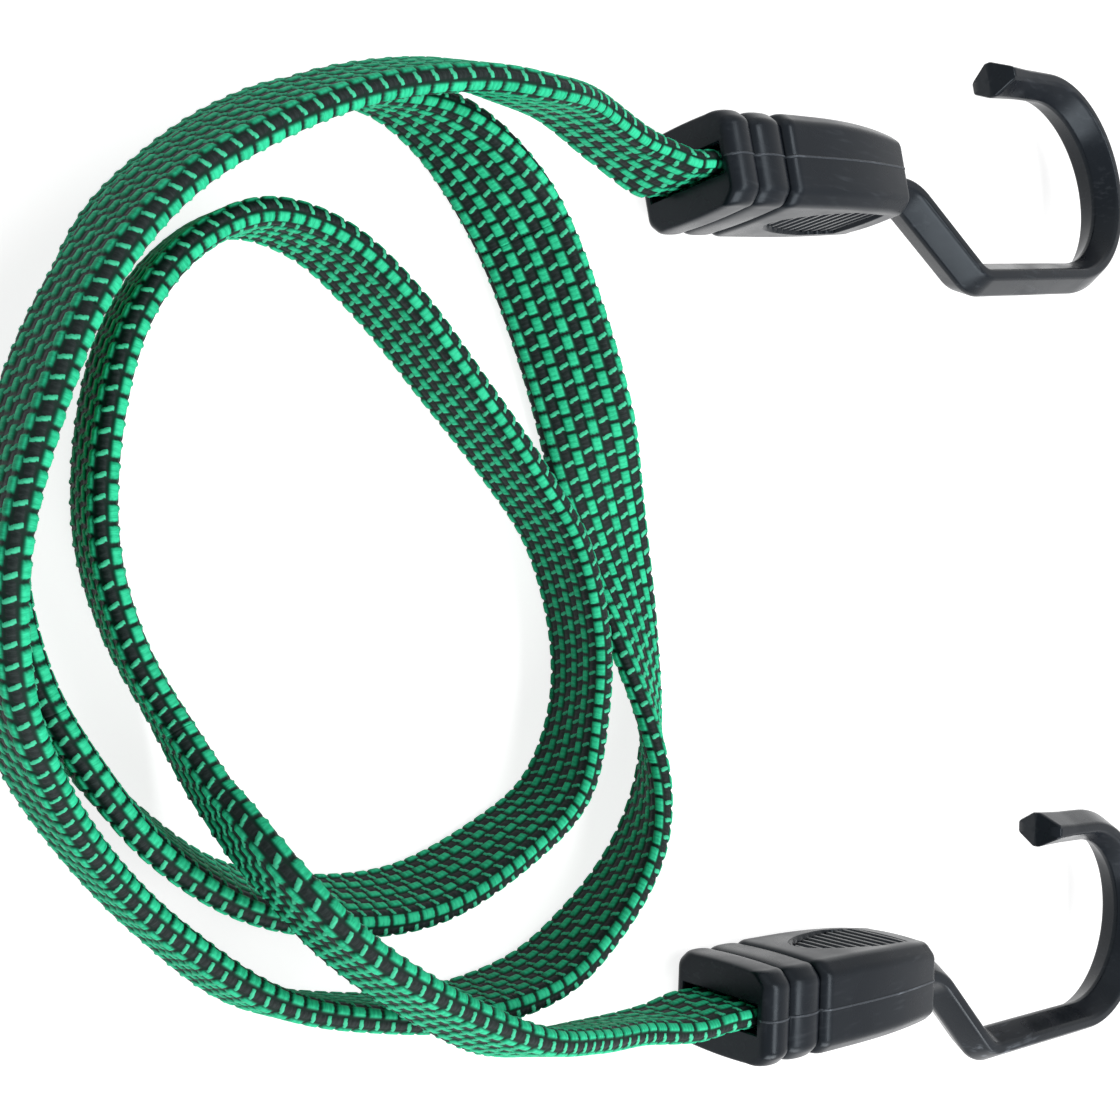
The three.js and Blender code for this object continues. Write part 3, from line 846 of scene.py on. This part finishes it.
    def grip(self, x: Array, z: Array, face: Array, side: int) -> Array:
        """A broad face with its ribbed recess: half an ellipse, straight toward the hook.

        Args:
            x: Places along the housing.
            z: Places across the face.
            face: Height of the plain face over the seam.
            side: Which half shell, 1 or -1.

        Returns:
            The face's height, lowered inside the recess to a flat floor with ribs across it.
        """
        thickness, _, offset = self.body_size(np.array((self.grip_start + self.grip_end) / 2))
        floor = thickness / 2 + self.sizes.crown + side * offset - self.grip_depth
        reach = self.grip_end - self.grip_start
        round_share = 1 - np.hypot((x - self.grip_end) / reach, z / (self.grip_width / 2))
        depth = np.minimum(round_share * self.grip_width / 2, self.grip_end - x)
        pitch = reach / self.rib_count
        from_rib = np.abs((x - self.grip_start) % pitch - pitch / 2)
        crest = self.rib_crest / 2
        rib = self.rib_height * smooth_step(0.0, 1.0, (pitch / 2 - from_rib) / (pitch / 2 - crest))
        ribs = rib * smooth_step(0.0, self.grip_edge, depth - self.rib_inset)
        wall = smooth_step(0.0, self.grip_edge, depth)
        return face + (np.minimum(floor + ribs, face) - face) * wall

    def long_edge(self) -> Array:
        """The eased chamfer of a long edge, from the narrow side to the broad face.

        Returns:
            How far each point stands in from the face, and from the side.
        """
        cut, ease = self.sizes.chamfer, self.sizes.chamfer_ease
        corners = np.array([[cut + 2 * ease, 0.0], [cut, 0.0], [0.0, cut], [0.0, cut + 2 * ease]])
        return rounded_line(corners, np.full(4, ease), self.edge_steps)

    def shell(self, side: Side) -> bpy.types.Object:
        """One half shell: its outside carried along the side line, and back through its hollow.

        Args:
            side: The half beyond or before the seam.

        Returns:
            The shell. A ring runs from the seam over a chamfer, the broad face and the other chamfer
            to the seam, and back along the seam round the slot. The seam has a fine lip on top.
        """
        sizes = self.sizes
        profile = self.profile()
        x = profile[:, :1]
        thickness, width, offset = self.body_size(x)
        half_t = thickness / 2 - profile[:, 1:2]
        half_w = width / 2 - profile[:, 2:3]
        edge = self.long_edge()
        shifted = side.value * offset
        edge_y = half_t - edge[None, :, 0] + shifted
        edge_z = half_w - edge[None, :, 1]
        share = np.linspace(1.0, -1.0, self.face_points)[None, 1:-1]
        face_z = (half_w - edge[-1, 1]) * share
        face_y = self.grip(x, face_z, half_t + sizes.crown * (1 - share ** 2) + shifted, side.value)
        even = np.ones_like(x)
        lip_y = even * (sizes.seam / 2 + sizes.flash_width * np.array([[0.0, 0.4, 1.0]]))
        lip_z = half_w + sizes.flash * np.array([[1.0, 1.0, 0.0]])
        outer_y = np.concatenate([lip_y, edge_y, face_y, edge_y[:, ::-1], even * sizes.seam / 2], 1)
        outer_z = np.concatenate([lip_z, edge_z, face_z, -edge_z[:, ::-1], -half_w], 1)
        inner_y, inner_z = self.hollow(x, side.value)
        y = np.concatenate([outer_y, inner_y], 1) * side.value
        z = np.concatenate([outer_z, inner_z], 1)
        points = np.stack([np.broadcast_to(x, y.shape), y, z], -1)
        if side is Side.FAR:
            points = points[:, ::-1]
        label = "far" if side is Side.FAR else "near"
        name = f"housing_{label}_{self.name.value}"
        piece = tube_mesh(name, self.placed(points), sharp=self.shell_sharp)
        rub_and_seam_highlight = np.full(points.shape[:2], self.plain_rub)
        # The seam lip gets a high value: paler there, as the flash's own pale colour with a painted
        # highlight along it, and more scuffs.
        lip = [-2, -1] if side is Side.FAR else [0, 1]
        rub_and_seam_highlight[:, lip] = self.seam_highlight_and_rub
        add_values(piece, "rub_and_seam_highlight", rub_and_seam_highlight)
        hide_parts(f"shell_{label}_{self.name.value}")
        return piece

    def hollow(self, x: Array, side: int) -> tuple[Array, Array]:
        """The seam side of a half shell: the strap's slot at the mouth, and the hook's way at the end.

        Args:
            x: Places along the housing, as a column.
            side: Which half shell, 1 or -1.

        Returns:
            Heights over the seam and places across, from the lower side to the upper one.
        """
        sizes = self.sizes
        seam = sizes.seam / 2
        flare = sizes.slot_flare * np.clip(1 - x / sizes.slot_flare, 0, 1)
        in_slot = x < sizes.slot_depth
        in_seat = x > sizes.length - sizes.shank_seat
        slot_y = np.where(in_slot, sizes.slot_thickness / 2 + flare, seam)
        slot_z = sizes.slot_width / 2 + flare
        gap = self.seat_gap
        ridge = self.ridge_thickness / 2 + gap + side * self.shank_offset
        edge = self.edge_thickness / 2 + gap + side * self.shank_offset
        top = self.hook_height / 2 + gap
        across = np.array([-1.0, -1.0, 0.0, 1.0, 1.0])[None, :]
        seat_y = np.array([seam, max(edge, seam), ridge, max(edge, seam), seam])[None, :]
        mouth_y = np.concatenate([np.full_like(x, seam), slot_y, slot_y, slot_y, np.full_like(x, seam)], 1)
        y = np.where(in_seat, seat_y, np.where(in_slot, mouth_y, seam))
        z = np.where(in_seat, across * top, across * slot_z)
        return y, z

    def hook_line(self) -> tuple[Array, Array]:
        """The hook's middle line in its plane, and the angle of its way.

        Returns:
            Points and angles: straight out of the housing, aside over two fillets, straight again,
            half round the bend, and back to the tip.
        """
        run = self.bend_offset - self.bend_radius
        slope = np.arctan2(self.shank_offset - run, self.elbow_corner - self.shank_corner)
        out_x = self.shank_corner - self.shank_fillet * np.tan(slope / 2)
        in_x = self.elbow_corner + self.elbow_fillet * np.tan(slope / 2)
        down = np.linspace(0.0, -slope, self.shank_points)
        back = np.linspace(-slope, 0.0, self.elbow_points)
        bend = np.linspace(0.0, np.pi, self.bend_points)
        count = self.straight_points
        straight = np.linspace(self.shank_start, out_x, count, endpoint=False)
        tip = np.linspace(self.bend_centre, self.tip_end, count + 1)[1:]
        lines = [
            (straight, np.full(count, self.shank_offset), np.zeros(count)),
            (out_x - self.shank_fillet * np.sin(down),
             self.shank_offset - self.shank_fillet * (1 - np.cos(down)), down),
            (in_x + self.elbow_fillet * np.sin(back), run + self.elbow_fillet * (1 - np.cos(back)), back),
            (self.bend_centre + self.bend_radius * np.sin(bend),
             self.bend_offset - self.bend_radius * np.cos(bend), bend),
            (tip, np.full(count, self.bend_offset + self.bend_radius), np.full(count, np.pi)),
        ]
        x, y, angle = (np.concatenate(parts) for parts in zip(*lines))
        return np.stack([x, y], -1), angle

    def section(self) -> Array:
        """The hook's section: a flattened six-sided outline with eased corners.

        Returns:
            Places across and up, once round.
        """
        ridge, edge = self.ridge_thickness / 2, self.edge_thickness / 2
        top, bevel, flat = self.hook_height / 2, self.edge_bevel, self.ridge_flat / 2
        quarter = np.array([[ridge, flat], [edge, top - bevel], [edge - bevel, top]])
        upper = np.concatenate([quarter, quarter[::-1] * [-1, 1]])
        outline = np.concatenate([upper, -upper])
        closed = np.concatenate([outline[-1:], outline, outline[:1]])
        radii = np.full(len(closed), self.section_ease)
        return rounded_line(closed, radii, self.section_steps)[1:-1]

    def hook(self) -> bpy.types.Object:
        """The hook: its section carried along its line, flared to a roof-shaped end at the tip.

        Returns:
            The hook's piece. The end's two slopes meet in a ridge that crosses the tip.
        """
        line, angle = self.hook_line()
        section = self.section()
        near_tip = np.clip((self.tip_end + self.tip_length - line[:, 0]) / self.tip_length, 0, 1)
        past_bend = angle > 3.0
        flare = np.where(past_bend, self.tip_flare * near_tip, 0.0)[:, None]
        across = section[None, :, 0] + np.sign(section[None, :, 0]) * flare
        up = section[None, :, 1] + np.sign(section[None, :, 1]) * flare
        turned = angle[:, None]
        x = line[:, :1] - across * np.sin(turned)
        y = line[:, 1:] + across * np.cos(turned)
        points = np.stack([x, y, up], -1)
        shrink = np.array([1.0, 1.0 - self.tip_ease / up[-1].max(), 0.6, 0.3, 0.02])[:, None]
        drop = np.array([self.tip_ease, 0.0, 0.0, 0.0, 0.0])[:, None]
        roof_y = line[-1, 1] - across[-1:] * shrink
        roof_z = up[-1:] * shrink
        roof_x = self.tip_end + drop - self.tip_rise * (1 - np.abs(roof_z) / up[-1].max())
        slope = self.tip_rise * (1 - np.abs(points[..., 2]) / up[-1].max())
        points[..., 0] -= slope * (flare / self.tip_flare)
        points = np.concatenate([points[:-1], np.stack([roof_x, roof_y, roof_z], -1)])
        piece = tube_mesh(f"hook_moulding_{self.name.value}", self.placed(points), sharp=self.hook_sharp)
        from_elbow = (points[..., 0] - self.elbow_corner) / self.rub_reach
        below = np.where(points[..., 1] < 0, 1.0, 0.0)
        add_values(piece, "rub_and_seam_highlight", self.plain_rub + below * np.exp(-from_elbow ** 2))
        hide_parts(f"hook_{self.name.value}")
        return piece

    def build(self, plastic: bpy.types.Material, steel: bpy.types.Material) -> list[bpy.types.Object]:
        """Makes the shells and the hook, dresses them and the crimp, and ties them to the hook end.

        Args:
            plastic: The mouldings' finish.
            steel: The crimp's finish.

        Returns:
            The new pieces.
        """
        pieces = [self.shell(Side.FAR), self.shell(Side.NEAR), self.hook()]
        for piece in pieces:
            piece.data.materials.append(plastic)
            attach(piece, f"hook_end_{self.name.value}")
        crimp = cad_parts[f"crimp_{self.name.value}"]
        crimp.data.materials.clear()
        crimp.data.materials.append(steel)
        return pieces


# Finishes


class NodeBoard:
    """A material's nodes, with short calls to add and join them."""

    def __init__(self, name: str) -> None:
        """Starts a material with its shader only.

        Args:
            name: The material's name.
        """
        self.material = bpy.data.materials.new(name)
        self.material.use_nodes = True
        self.tree = self.material.node_tree
        self.shader = self.tree.nodes["Principled BSDF"]

    def add(self, kind: str, inputs: dict[str | int, object] | None = None,
            **settings: object) -> bpy.types.Node:
        """Adds a node.

        Args:
            kind: Its type, such as ShaderNodeMath.
            inputs: Values, or sockets to join, by input name or number.
            settings: Its own settings.

        Returns:
            The node.
        """
        node = self.tree.nodes.new(kind)
        for key, value in settings.items():
            setattr(node, key, value)
        for key, value in (inputs or {}).items():
            self.put(node.inputs[key], value)
        return node

    def put(self, socket: bpy.types.NodeSocket, value: object) -> None:
        """Joins a socket to an input, or sets the input's own value.

        Args:
            socket: The input.
            value: A socket to join, or a plain value.
        """
        if isinstance(value, bpy.types.NodeSocket):
            self.tree.links.new(value, socket)
        else:
            socket.default_value = value

    def math(self, operation: str, first: object, second: object = 0.0) -> bpy.types.NodeSocket:
        """The result of one sum on two numbers or sockets."""
        return self.add("ShaderNodeMath", {0: first, 1: second}, operation=operation).outputs[0]

    def ramp(self, value: object, low: float, high: float, to_low: float = 0.0,
             to_high: float = 1.0) -> bpy.types.NodeSocket:
        """A value carried smoothly from one range to another, and held at its ends.

        Args:
            value: The value, as a socket.
            low: Where the first range starts.
            high: Where it ends.
            to_low: Where the second range starts.
            to_high: Where it ends.

        Returns:
            The carried value's socket.
        """
        inputs = {"Value": value, 1: low, 2: high, 3: to_low, 4: to_high}
        node = self.add("ShaderNodeMapRange", inputs, interpolation_type="SMOOTHSTEP")
        return node.outputs[0]

    def mix(self, share: object, first: object, second: object) -> bpy.types.NodeSocket:
        """Two colours mixed by a share."""
        return self.add("ShaderNodeMix", {0: share, 6: first, 7: second}, data_type="RGBA").outputs[2]

    def noise(self, place: object, scale: float, detail: float) -> bpy.types.NodeSocket:
        """Soft noise of a given scale at a place."""
        inputs = {"Vector": place, "Scale": scale, "Detail": detail}
        return self.add("ShaderNodeTexNoise", inputs).outputs[0]

    def value(self, name: str) -> bpy.types.NodeSocket:
        """A number that the mesh holds at its points."""
        return self.add("ShaderNodeAttribute", attribute_name=name).outputs["Fac"]

    def scaled(self, place: object, scale: tuple[float, float, float]) -> bpy.types.NodeSocket:
        """A place scaled along each axis."""
        return self.add("ShaderNodeMapping", {"Vector": place, "Scale": scale}).outputs[0]

    def bump(self, height: object, strength: float, distance: float) -> None:
        """Gives the shader fine relief."""
        inputs = {"Height": height, "Strength": strength, "Distance": distance}
        self.put(self.shader.inputs["Normal"], self.add("ShaderNodeBump", inputs).outputs[0])


def seen_rays(tree: bpy.types.NodeTree) -> bpy.types.NodeSocket:
    """One for rays that show a surface: seen straight, in a reflection, or through glass.

    Args:
        tree: A material's or a world's nodes.

    Returns:
        A socket that is 1 for those rays and 0 for light that is only scattered.
    """
    path = tree.nodes.new("ShaderNodeLightPath")
    seen = path.outputs["Is Camera Ray"]
    for kind in ("Is Glossy Ray", "Is Transmission Ray"):
        either = tree.nodes.new("ShaderNodeMath")
        either.operation = "MAXIMUM"
        tree.links.new(seen, either.inputs[0])
        tree.links.new(path.outputs[kind], either.inputs[1])
        seen = either.outputs[0]
    return seen


def linear(red: int, green: int, blue: int) -> tuple[float, float, float, float]:
    """A colour as the shader takes it, by the screen's own curve.

    Args:
        red: Red as it shows on a screen, from 0 to 255.
        green: Green.
        blue: Blue.

    Returns:
        Red, green and blue in proportion to light, and 1 for solid.
    """
    shown = np.array([red, green, blue]) / 255
    value = np.where(shown <= 0.04045, shown / 12.92, ((shown + 0.055) / 1.055) ** 2.4)
    return (*map(float, value), 1.0)


@dataclass(frozen=True)
class WovenYarn:
    """Green and black textured yarn, with ribs across each float. Shade is painted into its colour: at
    each float's foot, in the gaps between floats, and on the ribs.

    The rib width and the map it follows are in millimetres.
    """

    green: tuple[int, int, int] = (56, 220, 164)
    green_deep: tuple[int, int, int] = (26, 170, 122)
    green_foot_painted_shade: tuple[int, int, int] = (2, 68, 48)
    black: tuple[int, int, int] = (19, 29, 28)
    black_fibre_and_rib_highlight: tuple[int, int, int] = (38, 47, 46)
    tick: tuple[int, int, int] = (78, 206, 160)
    # The ground colour is painted shade in the gaps between floats, where shade falls.
    ground: tuple[int, int, int] = (2, 30, 22)
    rib_width: float = 0.8
    roughness: float = 0.62
    specular: float = 0.15

    def material(self) -> bpy.types.Material:
        """Builds the finish.

        Returns:
            The material.
        """
        board = NodeBoard("woven_yarn")
        crown, tone = board.value("crown"), board.value("tone")
        place = board.add("ShaderNodeUVMap", uv_map="weave").outputs[0]
        along = board.add("ShaderNodeSeparateXYZ", {0: place}).outputs[1]
        # Painted shade: the rib wave also goes into the colour, light on each rib's crest and dark between
        # ribs.
        wave = board.math("SINE", board.math("MULTIPLY", along, 2 * np.pi / self.rib_width))
        fibre = board.noise(board.scaled(place, (1.3, 6.0, 1.0)), 1.0, 4.0)
        cloud = board.noise(place, 0.05, 2.0)
        strand = board.math("ADD", board.math("MULTIPLY", wave, 0.11), fibre)
        own = board.math("MINIMUM", tone, 1.0)
        # Not wear: the float's own random tone, fibre streaks and a cloud of tone, with painted rib shade
        # from the wave.
        worn = board.math("ADD", board.math("MULTIPLY", own, 0.3), strand)
        worn = board.math("ADD", worn, board.math("MULTIPLY", cloud, 0.25))
        green = board.mix(board.ramp(worn, 0.3, 1.1), linear(*self.green_deep), linear(*self.green))
        # Black goes paler along its fibres, with a painted highlight on the rib crests.
        black = board.mix(board.ramp(strand, 0.35, 0.75), linear(*self.black), linear(*self.black_fibre_and_rib_highlight))
        # Painted shade: each green float darkens from its crown down to its foot, where its round sides
        # turn from the light.
        green = board.mix(board.ramp(crown, 0.15, 1.0), linear(*self.green_foot_painted_shade), green)
        green = board.mix(board.ramp(tone, 1.3, 1.8, 0.0, 0.8), green, linear(*self.tick))
        yarn = board.mix(board.ramp(board.value("green"), -0.05, 0.05), black, green)
        # Painted shade: where the crown is low, between and around the floats, the colour goes to the dark
        # ground colour.
        shaded = board.mix(board.ramp(crown, 0.0, 0.3), linear(*self.ground), yarn)
        board.put(board.shader.inputs["Base Color"], shaded)
        board.shader.inputs["Roughness"].default_value = self.roughness
        board.shader.inputs["Specular IOR Level"].default_value = self.specular
        board.bump(strand, 0.3, 0.1 * MM)
        return board.material


@dataclass(frozen=True)
class MouldedPlastic:
    """Charcoal moulded plastic: satin, faintly grained, scuffed pale at the elbow, and paler on the seam
    lip: the flash's own pale colour with a painted highlight.
    """

    colour: tuple[int, int, int] = (17, 21, 27)
    rubbed_and_highlight: tuple[int, int, int] = (112, 118, 126)
    roughness: float = 0.28
    specular: float = 0.19
    tint: tuple[float, float, float, float] = (0.8, 0.91, 1.0, 1.0)

    def material(self) -> bpy.types.Material:
        """Builds the finish.

        Returns:
            The material.
        """
        board = NodeBoard("moulded_plastic")
        place = board.add("ShaderNodeTexCoord").outputs["Object"]
        grain = board.noise(place, 2600.0, 2.0)
        cloud = board.noise(place, 90.0, 4.0)
        streak = board.noise(board.scaled(place, (160.0, 1100.0, 700.0)), 1.0, 4.0)
        rub_and_seam_highlight = board.value("rub_and_seam_highlight")
        worn = board.math("MULTIPLY", board.ramp(cloud, 0.4, 0.7), board.ramp(streak, 0.5, 0.75))
        # Painted highlight: values past 1 come only from the seam lip, and turn the plastic paler along
        # the flash.
        edge = board.ramp(rub_and_seam_highlight, 1.0, 2.5, 0.0, 0.32)
        pale = board.math("ADD", board.math("MULTIPLY", worn, rub_and_seam_highlight), edge)
        low, high = self.roughness - 0.06, self.roughness + 0.08
        shown = board.mix(pale, linear(*self.colour), linear(*self.rubbed_and_highlight))
        board.put(board.shader.inputs["Base Color"], shown)
        board.put(board.shader.inputs["Roughness"], board.ramp(cloud, 0.3, 0.7, low, high))
        board.shader.inputs["Specular IOR Level"].default_value = self.specular
        board.shader.inputs["Specular Tint"].default_value = self.tint
        board.bump(grain, 0.12, 0.05 * MM)
        return board.material


@dataclass(frozen=True)
class PlainSteel:
    """Rolled steel band, lightly brushed along."""

    colour: tuple[int, int, int] = (190, 192, 194)
    dull: tuple[int, int, int] = (160, 162, 164)
    roughness: float = 0.38

    def material(self) -> bpy.types.Material:
        """Builds the finish.

        Returns:
            The material.
        """
        board = NodeBoard("plain_steel")
        place = board.add("ShaderNodeTexCoord").outputs["Object"]
        brushed = board.noise(board.scaled(place, (300.0, 4000.0, 4000.0)), 1.0, 2.0)
        board.shader.inputs["Metallic"].default_value = 1.0
        low, high = self.roughness - 0.1, self.roughness + 0.1
        shown = board.mix(brushed, linear(*self.dull), linear(*self.colour))
        board.put(board.shader.inputs["Base Color"], shown)
        board.put(board.shader.inputs["Roughness"], board.ramp(brushed, 0.3, 0.7, low, high))
        board.bump(brushed, 0.1, 0.05 * MM)
        return board.material


# The studio


@dataclass(frozen=True)
class Lamp:
    """A flat area lamp: where it hangs, its level side and its other one, and its power in watts."""

    name: str
    place: tuple[float, float, float]
    sides: tuple[float, float]
    power: float

    def build(self, aim: tuple[float, float, float]) -> None:
        """Hangs the lamp so that it faces a point.

        Args:
            aim: The point.
        """
        lamp = bpy.data.lights.new(self.name, "AREA")
        lamp.shape = "RECTANGLE"
        lamp.size, lamp.size_y = self.sides
        lamp.energy = self.power
        holder = bpy.data.objects.new(self.name, lamp)
        back = unit(np.array(self.place) - np.array(aim))
        side = unit(np.cross([0.0, 0.0, 1.0], back) + 1e-9)
        turn = np.stack([side, np.cross(back, side), back], -1)
        holder.matrix_world = Matrix.Translation(self.place) @ Matrix(turn.tolist()).to_4x4()
        bpy.context.scene.collection.objects.link(holder)


@dataclass(frozen=True)
class Studio:
    """A pale floor, soft light and the camera."""

    lamps: tuple[Lamp, ...] = (
        Lamp("key_lamp", (-0.02, -0.9, 0.6), (0.9, 0.5), 10.5),
        Lamp("top_lamp", (0.20, 0.0, 1.05), (1.1, 0.3), 9.0),
        Lamp("fill_lamp", (-0.25, 0.85, 0.55), (0.7, 0.7), 0.8),
    )
    aim: tuple[float, float, float] = (-0.06, 0.0, 0.01)
    eye: tuple[float, float, float] = (-0.2423, -0.0001, 0.1778)
    tilt: float = 40.3
    roll: float = 0.5
    focal_share: float = 1397.0 / 1120.0
    sensor: float = 36.0
    near_clip: float = 0.01
    floor_half: float = 1.0
    floor_level: float = -0.2 * MM
    floor_colour: tuple[int, int, int] = (182, 182, 182)
    floor_glow: float = 0.84
    world_strength: float = 0.1

    def build(self) -> None:
        """Makes the floor, the lights, the world and the camera."""
        self._floor()
        for lamp in self.lamps:
            lamp.build(self.aim)
        self._world()
        self._camera()
        bpy.context.scene.view_settings.view_transform = "Standard"

    def _floor(self) -> None:
        """A flat pale floor just under the object, as a grid of two by two faces."""
        reach = np.linspace(-self.floor_half, self.floor_half, 3)
        x, y = np.meshgrid(reach, reach)
        points = np.stack([x, y, np.full_like(x, self.floor_level)], -1).reshape(-1, 3)
        corner = (np.arange(2)[:, None] * 3 + np.arange(2)[None, :]).ravel()
        faces = np.stack([corner, corner + 1, corner + 4, corner + 3], -1)
        mesh = bpy.data.meshes.new("floor")
        mesh.from_pydata(points.tolist(), [], faces.tolist())
        floor = bpy.data.objects.new("floor", mesh)
        bpy.context.scene.collection.objects.link(floor)
        board = NodeBoard("pale_floor")
        glow = board.math("MULTIPLY", seen_rays(board.tree), self.floor_glow)
        board.put(board.shader.inputs["Emission Strength"], glow)
        board.shader.inputs["Emission Color"].default_value = (1.0, 1.0, 1.0, 1.0)
        board.shader.inputs["Base Color"].default_value = linear(*self.floor_colour)
        board.shader.inputs["Roughness"].default_value = 0.9
        board.shader.inputs["Specular IOR Level"].default_value = 0.1
        mesh.materials.append(board.material)

    def _world(self) -> None:
        """Even pale light all round, which the camera sees as white."""
        world = bpy.data.worlds.new("studio")
        world.use_nodes = True
        bpy.context.scene.world = world
        tree = world.node_tree
        ground = tree.nodes["Background"]
        pick = tree.nodes.new("ShaderNodeMapRange")
        pick.inputs[3].default_value = self.world_strength
        pick.inputs[4].default_value = 1.0
        ground.inputs["Color"].default_value = (1.0, 1.0, 1.0, 1.0)
        tree.links.new(seen_rays(tree), pick.inputs["Value"])
        tree.links.new(pick.outputs[0], ground.inputs["Strength"])

    def _camera(self) -> None:
        """The camera, tilted down from upright by its tilt, along +X."""
        tilt, roll = np.radians(self.tilt), np.radians(self.roll)
        right = np.array([np.cos(tilt), 0.0, np.sin(tilt)])
        up = np.array([0.0, 1.0, 0.0])
        back = -np.array([np.sin(tilt), 0.0, -np.cos(tilt)])
        turned_right = np.cos(roll) * right - np.sin(roll) * up
        turned_up = np.sin(roll) * right + np.cos(roll) * up
        camera = bpy.data.cameras.new("camera")
        camera.sensor_width = self.sensor
        camera.lens = self.sensor * self.focal_share
        camera.clip_start = self.near_clip
        holder = bpy.data.objects.new("camera", camera)
        turn = Matrix(np.stack([turned_right, turned_up, back], -1).tolist()).to_4x4()
        holder.matrix_world = Matrix.Translation(self.eye) @ turn
        bpy.context.scene.collection.objects.link(holder)
        bpy.context.scene.camera = holder


def main() -> None:
    """Builds the studio, the strap and the two hook ends, and reports each piece."""
    logging.basicConfig(level=logging.INFO, format="%(name)s: %(message)s")
    Studio().build()
    pieces = Strap(StrapLine()).build(WovenYarn())
    plastic, steel = MouldedPlastic().material(), PlainSteel().material()
    for name in HookName:
        pieces += HookEnd(name).build(plastic, steel)
    for piece in pieces:
        log.info("%s: %d faces", piece.name, len(piece.data.polygons))


if __name__ == "__main__":
    main()
